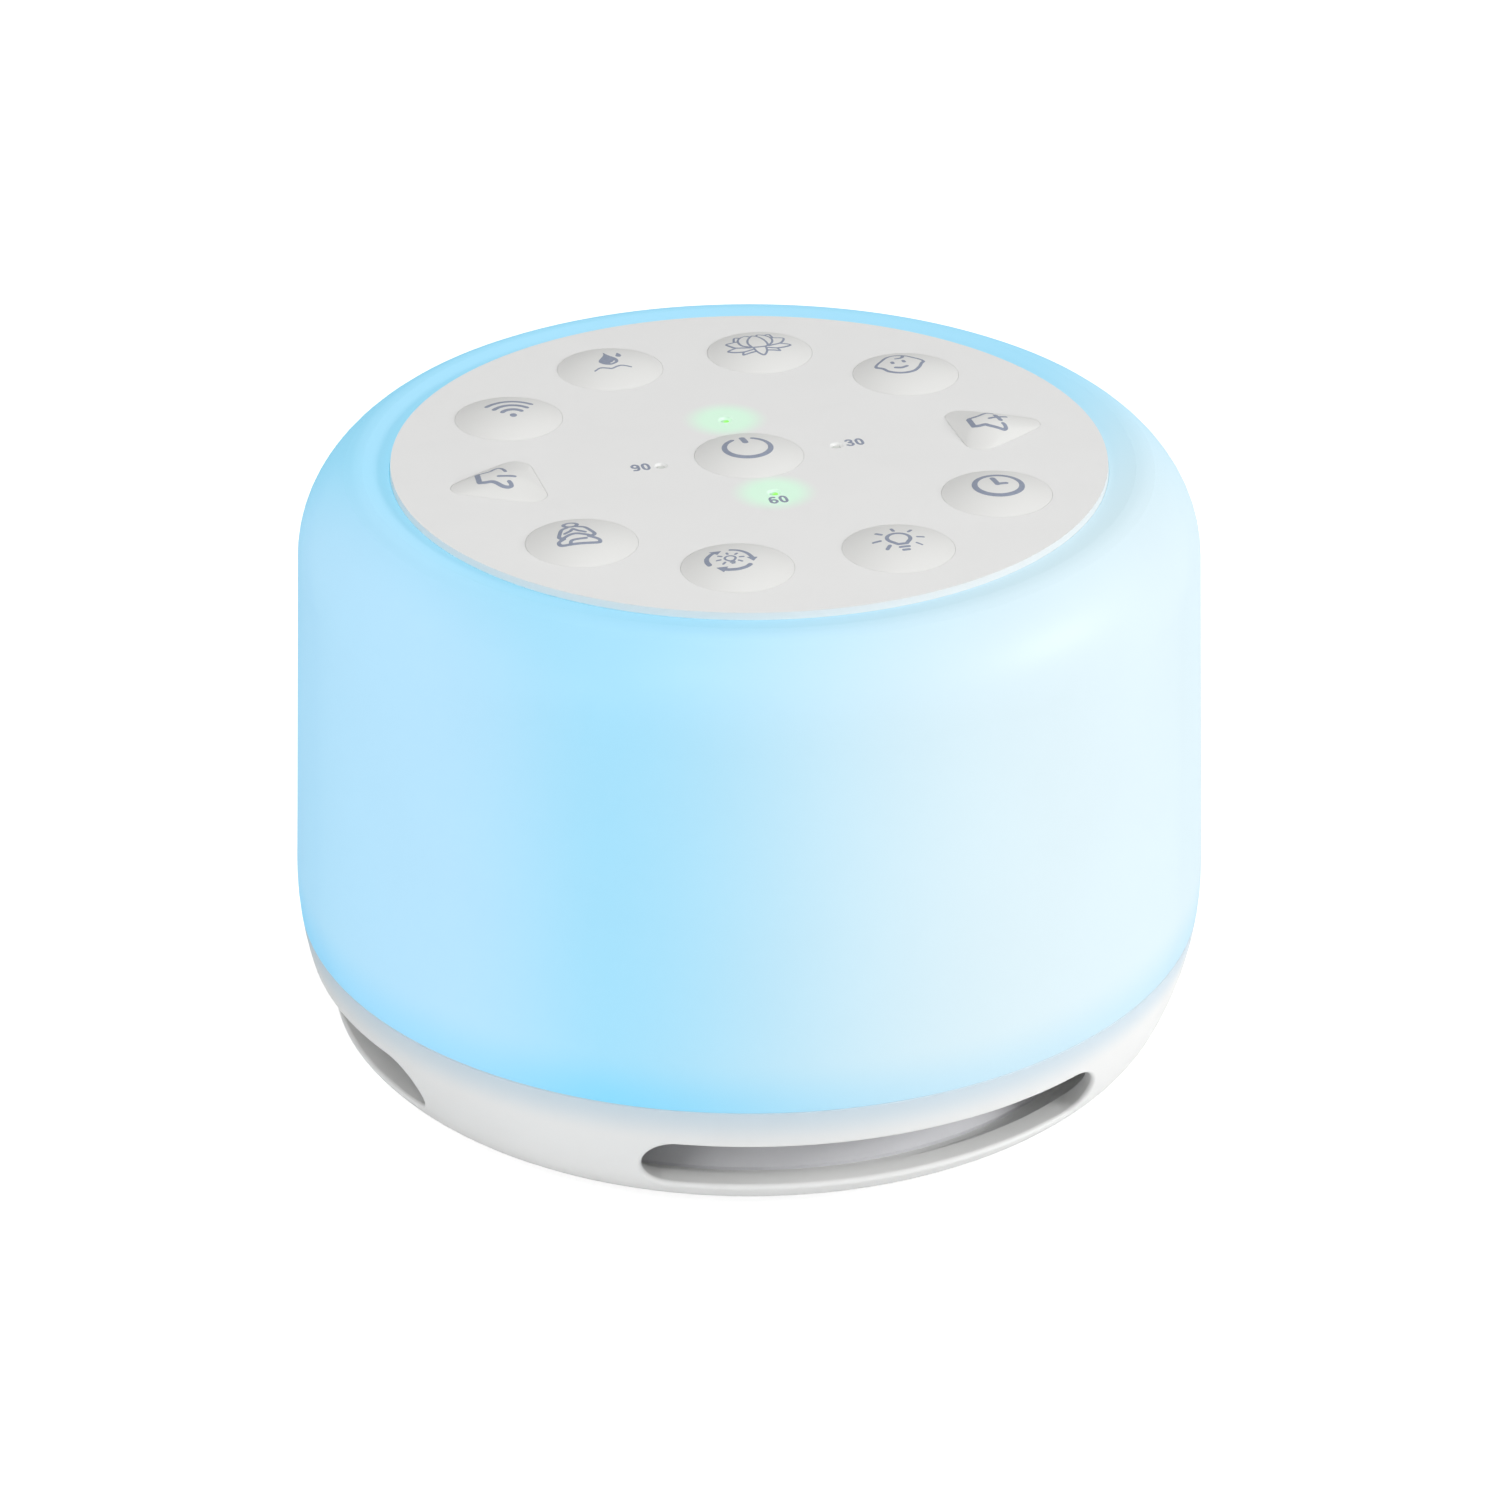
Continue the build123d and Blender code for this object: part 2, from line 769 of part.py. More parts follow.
# ---- reflector tower: drafted drum with a closed top, screw ears and board posts ----
with BuildPart() as reflector_tower:
    with BuildSketch(Plane.XZ):
        with BuildLine():
            Polyline(
                (tower_radius - tower_wall, deck_top),
                (tower_foot_radius, deck_top),
                (tower_foot_radius, deck_top + tower_wall),
                (tower_radius, deck_top + tower_wall),
                (tower_top_radius, tower_top),
                (0, tower_top),
                (0, tower_top - tower_wall),
                (tower_top_radius - tower_wall, tower_top - tower_wall),
                (tower_radius - tower_wall, deck_top),
            )
        make_face()
    revolve(axis=Axis.Z)
    with BuildSketch(Plane.XY.offset(deck_top)):
        for angle in tower_ear_angles:
            with Locations(ring_point((tower_ear_inner + tower_ear_outer) / 2, from_front(angle))):
                SlotOverall(
                    tower_ear_outer - tower_ear_inner, tower_ear_width, rotation=from_front(angle)
                )
        with Locations(*tower_screw_places):
            Circle(small_hole_radius, mode=Mode.SUBTRACT)
    extrude(amount=tower_wall)

    with BuildSketch(Plane.XY.offset(tower_top)):
        with Locations((0, ribbon_y)):
            Rectangle(ribbon_slit_length, ribbon_slit_width)
    extrude(amount=-tower_wall, mode=Mode.SUBTRACT)
    with BuildSketch(Plane.XY.offset(tower_top - tower_wall)):
        with Locations(*screw_ring(board_post_ring_radius)):
            Circle(boss_radius)
    extrude(amount=-board_post_height)
    with BuildSketch(Plane.XY.offset(main_board_top)):
        with Locations(*screw_ring(board_post_ring_radius)):
            Circle(small_pilot_radius)
    extrude(amount=board_post_bore, mode=Mode.SUBTRACT)
    with BuildSketch(upright(from_front(180), depth=lamp_riser_y)):
        with Locations((-lead_side, lamp_lead_z)):
            Circle(lamp_lead_radius + lead_hole_gap)
    extrude(amount=tower_foot_radius - lamp_riser_y, mode=Mode.SUBTRACT)
export(reflector_tower.part, "reflector_tower")

export(
    screw_group(
        tower_screw_places,
        deck_top + tower_wall,
        -tower_wall - tower_screw_reach,
        small_head_radius,
        small_head_height,
        small_screw_radius,
    ),
    "tower_screws",
)


# ---- main board with its chips, capacitors, screws and the ribbon to the keypad ----
with BuildPart() as main_board:
    with BuildSketch(Plane.XY.offset(main_board_top)):
        Circle(main_board_radius)
        with Locations(*screw_ring(board_post_ring_radius)):
            Circle(small_hole_radius, mode=Mode.SUBTRACT)
    extrude(amount=-board_thickness)
export(main_board.part, "main_board")

with BuildPart() as board_chips:
    with BuildSketch(Plane.XY.offset(main_board_under)):
        with Locations(*large_chip_places):
            Rectangle(*large_chip_size)
        with Locations(small_chip_place):
            Rectangle(*small_chip_size)
    extrude(amount=-chip_height)
export(board_chips.part, "board_chips")

with BuildPart() as board_capacitors:
    with BuildSketch(Plane.XY.offset(main_board_under)):
        with Locations(*capacitor_places):
            Circle(capacitor_radius)
    extrude(amount=-capacitor_height)
export(board_capacitors.part, "board_capacitors")

export(
    screw_group(
        screw_ring(board_post_ring_radius),
        main_board_under,
        board_thickness + small_screw_reach,
        small_head_radius,
        small_head_height,
        small_screw_radius,
    ),
    "main_board_screws",
)

with BuildPart() as ribbon_connectors:
    with BuildSketch(Plane.XY.offset(key_board_top - board_thickness)):
        with Locations((0, ribbon_y)):
            Rectangle(connector_length, connector_width)
    extrude(amount=-connector_height)
    with BuildSketch(Plane.XY.offset(main_board_top)):
        with Locations((0, ribbon_y)):
            Rectangle(connector_length, connector_width)
    extrude(amount=connector_height)
export(ribbon_connectors.part, "ribbon_connectors")

with BuildPart() as ribbon_cable:
    with BuildSketch(Plane.XY.offset(main_board_top + connector_height)):
        with Locations((0, ribbon_y)):
            Rectangle(ribbon_width, ribbon_thickness)
    extrude(amount=key_board_top - board_thickness - main_board_top - 2 * connector_height)
export(ribbon_cable.part, "ribbon_cable")


# ---- lamp board: ring of LEDs on the deck, round the foot of the tower ----
with BuildPart() as lamp_board:
    with BuildSketch(Plane.XY.offset(deck_top)):
        Circle(lamp_board_outer)
        Circle(lamp_board_inner, mode=Mode.SUBTRACT)
    extrude(amount=board_thickness)
export(lamp_board.part, "lamp_board")

with BuildPart() as lamp_leds:
    with BuildSketch(Plane.XY.offset(deck_top + board_thickness)):
        with PolarLocations(lamp_ring_radius, lamp_count):
            Rectangle(lamp_size, lamp_size)
    extrude(amount=lamp_height)
export(lamp_leds.part, "lamp_leds")


# ---- loudspeaker ----
flange_z = deck_z - gasket_thickness            # top face of the mounting flange
basket_radius = speaker_hole_radius - basket_gap
pole_radius = former_radius - former_wall - speaker_gap
plate_hole_radius = former_radius + speaker_gap
cone_edge_z = flange_z - cone_edge_drop

with BuildPart() as speaker_gasket:
    with BuildSketch(Plane.XY.offset(deck_z)):
        Circle(flange_outer)
        Circle(speaker_hole_radius, mode=Mode.SUBTRACT)
        with Locations(*screw_ring(speaker_screw_ring)):
            Circle(small_hole_radius, mode=Mode.SUBTRACT)
    extrude(amount=-gasket_thickness)
export(speaker_gasket.part, "speaker_gasket")

with BuildPart() as speaker_frame:
    with BuildSketch(Plane.XZ):
        with BuildLine():
            Polyline(
                (flange_inner, flange_z - flange_thickness),
                (flange_outer, flange_z - flange_thickness),
                (flange_outer, flange_z),
                (basket_radius, flange_z),
                (basket_radius, deck_top),
                (basket_neck_outer, magnet_z),
                (plate_hole_radius, magnet_z),
                (plate_hole_radius, magnet_z - basket_neck_thickness),
                (basket_neck_inner, magnet_z - basket_neck_thickness),
                (flange_inner, deck_top - basket_fold),
                (flange_inner, flange_z - flange_thickness),
            )
        make_face()
    revolve(axis=Axis.Z)
    for index in range(window_count):
        with BuildSketch(upright(index * 360 / window_count, depth=window_start)):
            with BuildLine():
                Polyline(
                    (-window_top_half, magnet_z - window_top_drop),
                    (window_top_half, magnet_z - window_top_drop),
                    (window_foot_half, deck_top + window_foot_rise),
                    (-window_foot_half, deck_top + window_foot_rise),
                    (-window_top_half, magnet_z - window_top_drop),
                )
            make_face()
        extrude(amount=window_depth, mode=Mode.SUBTRACT)
    with BuildSketch(Plane.XY.offset(flange_z)):
        with Locations(*screw_ring(speaker_screw_ring)):
            Circle(small_hole_radius)
    extrude(amount=-flange_thickness, mode=Mode.SUBTRACT)
export(speaker_frame.part, "speaker_frame")

with BuildPart() as speaker_magnet:
    with BuildSketch(Plane.XY.offset(magnet_z)):
        Circle(magnet_radius)
        Circle(magnet_bore, mode=Mode.SUBTRACT)
    extrude(amount=magnet_height)
export(speaker_magnet.part, "speaker_magnet")

with BuildPart() as speaker_yoke:
    with BuildSketch(Plane.XY.offset(yoke_top)):
        Circle(yoke_radius)
    extrude(amount=-yoke_thickness)
    with BuildSketch(Plane.XY.offset(yoke_top - yoke_thickness)):
        Circle(pole_radius)
    extrude(amount=-magnet_height - basket_neck_thickness)
export(speaker_yoke.part, "speaker_yoke")

with BuildPart() as voice_coil:
    with BuildSketch(Plane.XY.offset(cone_neck_z)):
        Circle(former_radius)
        Circle(former_radius - former_wall, mode=Mode.SUBTRACT)
    extrude(amount=former_length)
export(voice_coil.part, "voice_coil")

with BuildPart() as speaker_cone:
    with BuildSketch(Plane.XZ):
        with BuildLine():
            neck = Line((former_radius - former_wall, cone_neck_z), (former_radius, cone_neck_z))
            flare = ThreePointArc(neck @ 1, cone_middle, (cone_edge_radius, cone_edge_z))
            lip = Line(flare @ 1, (cone_edge_radius, cone_edge_z - cone_paper))
            ThreePointArc(lip @ 1, cone_under_middle, neck @ 0)
        make_face()
    revolve(axis=Axis.Z)
export(speaker_cone.part, "speaker_cone")

with BuildPart() as speaker_dust_cap:
    with BuildSketch(Plane.XZ):
        with BuildLine():
            outer_cap = JernArc((0, cone_neck_z - cap_drop), (1, 0), cap_radius, cap_turn)
            inner_cap = JernArc(
                (0, cone_neck_z - cap_drop + cap_paper), (1, 0), cap_radius - cap_paper, cap_turn
            )
            Line(outer_cap @ 0, inner_cap @ 0)
            Line(outer_cap @ 1, inner_cap @ 1)
        make_face()
    revolve(axis=Axis.Z)
export(speaker_dust_cap.part, "speaker_dust_cap")

roll_inner = cone_edge_radius + speaker_gap
roll_outer = flange_inner - roll_edge_gap
roll_middle = (roll_inner + roll_outer) / 2
roll_z = flange_z - roll_drop
with BuildPart() as speaker_surround:
    with BuildSketch(Plane.XZ):
        with BuildLine():
            outer_roll = ThreePointArc(
                (roll_inner, roll_z), (roll_middle, roll_z - roll_height), (roll_outer, roll_z)
            )
            top_land = Line(outer_roll @ 1, (roll_outer, roll_z + roll_wall))
            inner_roll = ThreePointArc(
                top_land @ 1,
                (roll_middle, roll_z + roll_wall - roll_height),
                (roll_inner, roll_z + roll_wall),
            )
            Line(inner_roll @ 1, outer_roll @ 0)
        make_face()
    revolve(axis=Axis.Z)
export(speaker_surround.part, "speaker_surround")

with BuildPart() as speaker_spider:
    with BuildSketch(Plane.XY.offset(spider_z)):
        Circle(spider_radius)
        Circle(former_radius + speaker_gap, mode=Mode.SUBTRACT)
    extrude(amount=spider_thickness)
export(speaker_spider.part, "speaker_spider")

export(
    screw_group(
        screw_ring(speaker_screw_ring),
        flange_z - flange_thickness,
        flange_thickness + gasket_thickness,
        speaker_head_radius,
        small_head_height,
        small_screw_radius,
    ),
    "speaker_screws",
)


# ---- leads: jack and lamp board to the main board, loudspeaker to the main board ----
def lead(x, points, bends, radius):
    """Round lead at a distance x to the right: straight runs joined by tangent arcs."""
    with BuildPart() as wire:
        with BuildLine(Plane(origin=(x, 0, 0), x_dir=(0, 1, 0), z_dir=(1, 0, 0))) as route:
            FilletPolyline(*points, radius=bends)
        with BuildSketch(Plane(origin=route.line @ 0, z_dir=route.line % 0)):
            Circle(radius)
        sweep()
    return wire.part


plug_bottom = main_board_under - plug_height
power_route = (
    (inlet_box_start, inlet_z),
    (lead_riser_y, inlet_z),
    (lead_riser_y, lead_bend_z),
    (plug_y, lead_entry_z),
    (plug_y, plug_bottom),
)
export(lead(-lead_side, power_route, power_lead_bends, power_lead_radius), "power_lead")

lamp_route = (
    (lamp_ring_radius - lamp_plug_size[1] / 2, lamp_lead_z),
    (lamp_riser_y, lamp_lead_z),
    (lamp_riser_y, lead_bend_z),
    (plug_y, lead_entry_z),
    (plug_y, plug_bottom),
)
export(lead(lead_side, lamp_route, lamp_lead_bends, lamp_lead_radius), "lamp_lead")

wire_route = (
    (terminal_y, yoke_top + terminal_height),
    (terminal_y, wire_bend_z),
    (speaker_plug_y, lead_entry_z),
    (speaker_plug_y, plug_bottom),
)
wires = [
    lead(side, wire_route, speaker_wire_bends, speaker_wire_radius)
    for side in (-speaker_wire_side, speaker_wire_side)
]
export(Compound(children=wires), "speaker_wires")

with BuildPart() as lead_plugs:
    with BuildSketch(Plane.XY.offset(main_board_under)):
        with Locations((-lead_side, plug_y), (lead_side, plug_y), (0, speaker_plug_y)):
            Rectangle(*plug_size)
    extrude(amount=-plug_height)
    with BuildSketch(Plane.XY.offset(deck_top + board_thickness)):
        with Locations((lead_side, lamp_ring_radius)):
            Rectangle(*lamp_plug_size)
    extrude(amount=lamp_plug_height)
export(lead_plugs.part, "lead_plugs")

with BuildPart() as speaker_terminal:
    with BuildSketch(Plane.XY.offset(yoke_top)):
        with Locations((0, terminal_y)):
            Rectangle(*terminal_size)
    extrude(amount=terminal_height)
export(speaker_terminal.part, "speaker_terminal")


# ---- sound deflector: round hill on the bowl floor that turns the sound outward ----
with BuildPart() as sound_deflector:
    with BuildSketch(Plane.XZ):
        with BuildLine():
            edge = Line((deflector_radius, floor_top), (deflector_radius, floor_top + deflector_edge))
            slope = ThreePointArc(edge @ 1, deflector_slope_middle, deflector_shoulder)
            hill = ThreePointArc(slope @ 1, deflector_hill_middle, (0, deflector_top))
            Polyline(hill @ 1, (0, floor_top), edge @ 0)
        make_face()
    revolve(axis=Axis.Z)
    with BuildSketch(Plane.XY.offset(floor_top)):
        with Locations(*post_places):
            Circle(post_radius + deflector_post_gap)
        with Locations((0, deflector_notch_y)):
            Rectangle(*deflector_notch)
    extrude(amount=deflector_top, mode=Mode.SUBTRACT)
export(sound_deflector.part, "sound_deflector")


# ---- power inlet: barrel jack hung under the deck, its nose in the rear wall ----
with BuildPart() as power_inlet:
    with BuildSketch(upright(from_front(180), depth=inlet_box_start)):
        with Locations((0, deck_z - inlet_box_height / 2)):
            Rectangle(inlet_box_width, inlet_box_height)
    extrude(amount=inlet_box_length)
    inlet_box_end = inlet_box_start + inlet_box_length
    with BuildSketch(upright(from_front(180), depth=inlet_box_end)):
        with Locations((0, inlet_z)):
            Circle(inlet_nose_radius)
    extrude(amount=inlet_nose_length)
    with BuildSketch(upright(from_front(180), depth=inlet_box_end + inlet_nose_length)):
        with Locations((0, inlet_z)):
            Circle(inlet_bore_radius)
            Circle(inlet_pin_radius, mode=Mode.SUBTRACT)
    extrude(amount=-inlet_bore_depth, mode=Mode.SUBTRACT)
export(power_inlet.part, "power_inlet")


# ---- feet and base screws ----
with BuildPart() as rubber_feet:
    with BuildSketch():
        with Locations(*post_places):
            Circle(foot_radius - foot_gap)
    extrude(amount=bottom_z + foot_recess)
    chamfer(rubber_feet.faces().group_by(Axis.Z)[0].edges(), length=foot_bevel)
export(rubber_feet.part, "rubber_feet")

export(
    screw_group(
        post_places,
        head_seat_z,
        screw_length,
        screw_head_radius,
        screw_head_height,
        screw_radius,
    ),
    "base_screws",
)
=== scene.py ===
import itertools
import math

import bpy
import numpy as np
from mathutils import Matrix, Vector
from mathutils.bvhtree import BVHTree


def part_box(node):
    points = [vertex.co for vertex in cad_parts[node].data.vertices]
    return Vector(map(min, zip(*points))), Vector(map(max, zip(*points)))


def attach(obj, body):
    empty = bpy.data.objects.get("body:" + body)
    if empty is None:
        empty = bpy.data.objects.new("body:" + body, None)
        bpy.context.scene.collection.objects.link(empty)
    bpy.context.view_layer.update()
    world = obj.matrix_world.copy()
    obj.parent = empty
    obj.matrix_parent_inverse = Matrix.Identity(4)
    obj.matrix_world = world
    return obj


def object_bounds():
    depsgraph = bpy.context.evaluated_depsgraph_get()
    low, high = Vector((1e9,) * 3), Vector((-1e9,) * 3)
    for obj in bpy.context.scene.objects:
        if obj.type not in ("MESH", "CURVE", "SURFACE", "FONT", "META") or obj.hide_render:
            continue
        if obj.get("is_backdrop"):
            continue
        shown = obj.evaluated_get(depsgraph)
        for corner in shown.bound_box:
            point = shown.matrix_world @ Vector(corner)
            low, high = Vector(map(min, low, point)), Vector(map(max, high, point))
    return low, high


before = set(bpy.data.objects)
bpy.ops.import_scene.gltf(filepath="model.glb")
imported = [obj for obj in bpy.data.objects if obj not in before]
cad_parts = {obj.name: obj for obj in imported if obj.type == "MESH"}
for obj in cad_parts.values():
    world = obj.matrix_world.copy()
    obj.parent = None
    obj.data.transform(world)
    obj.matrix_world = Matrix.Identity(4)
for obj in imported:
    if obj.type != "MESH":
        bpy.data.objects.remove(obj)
cad_low, cad_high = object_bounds()

MM = 0.001
SEAM_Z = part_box("base_bowl")[1].z
SHADE_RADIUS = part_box("diffuser_shade")[1].x

# ---- camera: the photograph's view of the machine ----
CAMERA_AZIMUTH = -15.6        # degrees, from the front towards the left
CAMERA_ELEVATION = 27.4842
CAMERA_DISTANCE = 0.636       # metres
CAMERA_LENS = 128.91          # this and the sensor's width are in millimetres
SENSOR_WIDTH = 36.0
AIM_HEIGHT = 35.7 * MM        # of the point on the axis that lies next to the aim
AIM_RIGHT = 0.09 * MM         # from that point to the aim, as the camera sees it
AIM_DOWN = 1.01 * MM
NEAREST_SEEN, FURTHEST_SEEN = 0.01, 20


def toward(azimuth, elevation):
    """Unit vector from the machine, azimuth 0 to the front and 90 to the right."""
    a, e = math.radians(azimuth), math.radians(elevation)
    return Vector((math.sin(a) * math.cos(e), -math.cos(a) * math.cos(e), math.sin(e)))


def make_camera():
    """The scene's camera, which looks at the machine from the front left and above."""
    data = bpy.data.cameras.new("camera")
    data.lens = CAMERA_LENS
    data.sensor_width = SENSOR_WIDTH
    camera = bpy.data.objects.new("camera", data)
    bpy.context.collection.objects.link(camera)
    back = toward(CAMERA_AZIMUTH, CAMERA_ELEVATION)
    turn = (-back).to_track_quat("-Z", "Y")
    aim = Vector((0, 0, AIM_HEIGHT)) + turn @ Vector((AIM_RIGHT, -AIM_DOWN, 0))
    camera.location = aim + back * CAMERA_DISTANCE
    camera.rotation_mode = "QUATERNION"
    camera.rotation_quaternion = turn
    data.clip_start, data.clip_end = NEAREST_SEEN, FURTHEST_SEEN
    bpy.context.scene.camera = camera


make_camera()


# ---- materials ----
def srgb(red, green, blue):
    """Linear colour of a display colour in 0 to 255."""
    parts = []
    for c in (red / 255, green / 255, blue / 255):
        parts.append(c / 12.92 if c <= 0.04045 else ((c + 0.055) / 1.055) ** 2.4)
    return (*parts, 1.0)


class Paint:
    """A procedural material: a Principled shader and the nodes that feed it."""

    def __init__(self, name, **sockets):
        self.material = bpy.data.materials.new(name)
        self.material.use_nodes = True
        self.tree = self.material.node_tree
        self.shader = self.tree.nodes["Principled BSDF"]
        self.place = self.node("TexCoord").outputs["Object"]
        for socket, value in sockets.items():
            self.set(socket.replace("_", " "), value)

    def node(self, kind, inputs=None, **settings):
        """A new shader node with its inputs fed and its settings made."""
        made = self.tree.nodes.new("ShaderNode" + kind)
        for name, value in settings.items():
            setattr(made, name, value)
        for name, value in (inputs or {}).items():
            self.feed(made.inputs[name], value)
        return made

    def feed(self, socket, value):
        """Link the socket to another node's output, or give it a plain value."""
        if isinstance(value, bpy.types.NodeSocket):
            self.tree.links.new(value, socket)
        else:
            socket.default_value = value

    def set(self, socket, value):
        """Feed one of the shader's own inputs."""
        self.feed(self.shader.inputs[socket], value)

    def math(self, operation, a, b=0.0):
        """The result of a and b under the operation."""
        made = self.node("Math", operation=operation)
        self.feed(made.inputs[0], a)
        self.feed(made.inputs[1], b)
        return made.outputs[0]

    def mix(self, factor, a, b):
        """Colour that goes from a to b."""
        made = self.node("Mix", data_type="RGBA")
        self.feed(made.inputs[0], factor)
        self.feed(made.inputs[6], a)
        self.feed(made.inputs[7], b)
        return made.outputs[2]

    def noise(self, size, detail=2.0, stretch=None):
        """Noise whose blotches are about size metres across."""
        place = self.place
        if stretch:
            made = self.node("Mapping", {"Vector": place})
            made.inputs["Scale"].default_value = stretch
            place = made.outputs[0]
        return self.node(
            "TexNoise", {"Vector": place, "Scale": 1 / size, "Detail": detail}
        ).outputs["Fac"]

    def ramp(self, value, low, high, start=0.0, end=1.0):
        """start at low, end at high, eased between them."""
        made = self.node("MapRange", {"Value": value}, interpolation_type="SMOOTHSTEP")
        made.inputs["From Min"].default_value = low
        made.inputs["From Max"].default_value = high
        made.inputs["To Min"].default_value = start
        made.inputs["To Max"].default_value = end
        return made.outputs["Result"]

    def axis(self, name):
        """The X, Y or Z place on the object, in metres."""
        if not hasattr(self, "axes"):
            self.axes = self.node("SeparateXYZ", {"Vector": self.place})
        return self.axes.outputs[name]

    def grain(self, size, depth, detail=2.0, height=None):
        """Bump of a grain, or of another height, that stands depth metres high."""
        bump = self.node("Bump", {"Height": height or self.noise(size, detail)})
        bump.inputs["Strength"].default_value = 1.0
        bump.inputs["Distance"].default_value = depth
        self.set("Normal", bump.outputs[0])

    def mottled(self, colour, spread, size):
        """The colour, a little lighter and darker in soft blotches."""
        darker = tuple(c * (1 - spread) for c in colour[:3]) + (1.0,)
        lighter = tuple(min(1.0, c * (1 + spread)) for c in colour[:3]) + (1.0,)
        return self.mix(self.noise(size), darker, lighter)


def times(colour, tint):
    """The colour, each of its parts scaled by the tint's."""
    return tuple(c * t for c, t in zip(colour, tint)) + (1.0,)


MOULD_GRAIN = 0.12 * MM
MOULD_DEPTH = 0.004 * MM           # of the grain
FLOW_SPREAD, FLOW_SIZE = 0.012, 9 * MM
SPECK_SIZE = 0.35 * MM
SPECK_TINT = (0.97, 0.97, 0.97)
GLOSS_SIZE = 5 * MM                # of the areas with more and with less gloss


def moulded(name, colour, roughness, grain_depth=MOULD_DEPTH):
    """Injection-moulded plastic: fine grain, faint specks and flow mottling, uneven gloss."""
    paint = Paint(name)
    body = paint.mottled(colour, FLOW_SPREAD, FLOW_SIZE)
    speck = paint.ramp(paint.noise(SPECK_SIZE, 3.0), 0.30, 0.44, 0.985, 1.0)
    paint.body = paint.mix(speck, times(colour, SPECK_TINT), body)
    paint.set("Base Color", paint.body)
    gloss = paint.ramp(paint.noise(GLOSS_SIZE), 0.3, 0.7, roughness - 0.03, roughness + 0.04)
    paint.set("Roughness", gloss)
    paint.grain(MOULD_GRAIN, grain_depth)
    return paint


# ---- the plastics that are seen in the photograph ----
PANEL_COLOUR = srgb(231, 231, 230)
KEY_COLOUR = srgb(223, 223, 221)
BASE_COLOUR = srgb(231, 231, 230)
PAINTED_SEAM_GLOW = (0.72, 0.84, 0.93)     # painted light: how the lit diffuser's glow colours the bowl next to the seam, bluer and darker
PAINTED_GLOW_REACH = 5.0 * MM
LAMP_RING = 10.5 * MM              # radius at which the indicator pins stand
# painted light: the green glow that the lit pins cast on the panel
HALO_CORE, HALO_EDGE = 2.2 * MM, 5.4 * MM
HALO_TINT = (0.84, 1.0, 0.93)
HALO_GLOW = srgb(129, 231, 139)
HALO_STRENGTH = 0.22
PIN_CLEAR = srgb(214, 216, 212)
PIN_LIT = srgb(190, 240, 196)
PIN_NEAR, PIN_FAR = 2.0 * MM, 3.0 * MM     # from the axis of a lit pin: still in it, out of it
CORE_RADIUS, CORE_EDGE = 0.42 * MM, 0.68 * MM
CORE_SHIFT = (0.30 * MM, -0.29 * MM)       # from a pin's axis to the lamp seen through it
CORE_BODY = srgb(30, 90, 30)
CORE_GREEN = srgb(100, 250, 90)
CORE_YELLOW = srgb(190, 253, 115)


def lit_pins(paint, core, edge, shift=(0.0, 0.0)):
    """1 within core of the two lit pins, behind and before the power key, 0 from edge on."""
    x = paint.math("SUBTRACT", paint.axis("X"), shift[0])
    y = paint.math("SUBTRACT", paint.axis("Y"), shift[1])
    off = paint.math("SUBTRACT", paint.math("ABSOLUTE", y), LAMP_RING)
    square = paint.math("ADD", paint.math("MULTIPLY", x, x), paint.math("MULTIPLY", off, off))
    return paint.ramp(paint.math("SQRT", square), core, edge, 1.0, 0.0)


def panel_paint():
    """Panel with a painted soft green glow round each lit pin, in its colour and its emission."""
    paint = moulded("panel_plastic", PANEL_COLOUR, 0.42)
    halo = lit_pins(paint, HALO_CORE, HALO_EDGE)
    paint.set("Base Color", paint.mix(halo, paint.body, times(PANEL_COLOUR, HALO_TINT)))
    paint.set("Emission Color", HALO_GLOW)
    paint.set("Emission Strength", paint.math("MULTIPLY", halo, HALO_STRENGTH))
    return paint.material


def base_paint():
    """Bowl with painted light from the lit diffuser next to the seam, which makes it bluer and
    darker there.
    """
    paint = moulded("base_plastic", BASE_COLOUR, 0.46)
    # painted light from the diffuser, fading out below the seam
    painted_glow_near_seam = paint.ramp(paint.axis("Z"), SEAM_Z - PAINTED_GLOW_REACH, SEAM_Z, 0.0, 1.0)
    paint.set("Base Color", paint.mix(painted_glow_near_seam, paint.body, times(BASE_COLOUR, PAINTED_SEAM_GLOW)))
    return paint.material


SHADE_BODY = (0.40, 0.42, 0.46, 1.0)
FOOT_BODY = (0.28, 0.36, 0.45, 1.0)     # at the seam
GLOW_LEFT = (0.10, 0.385, 0.555, 1.0)   # light from inside, on the left
GLOW_DEEP = (0.0, 0.355, 0.53, 1.0)     # in front and at the back
GLOW_AND_PAINTED_LIGHT = (0.30, 0.42, 0.43, 1.0)     # glow with painted light: pale on the right, where the right lamp falls
PAINTED_LIGHT_SIDE = CAMERA_AZIMUTH + 60         # the azimuths that the painted light on the right and the left glow face
LEFT_SIDE = CAMERA_AZIMUTH - 60
PAINTED_LIGHT_FROM, PAINTED_LIGHT_FULL = 0.2, 1.0         # shares of the radius towards each side
LEFT_FROM, LEFT_FULL = 0.72, 0.94
GLOSS_TO, GLOSS_GONE = 0.45, 0.75       # how far the surface turns away before its gloss goes
SHOULDER_GLOSS = 0.16
FOOT_REACH = 7 * MM
FOOT_GLOW = 1.05


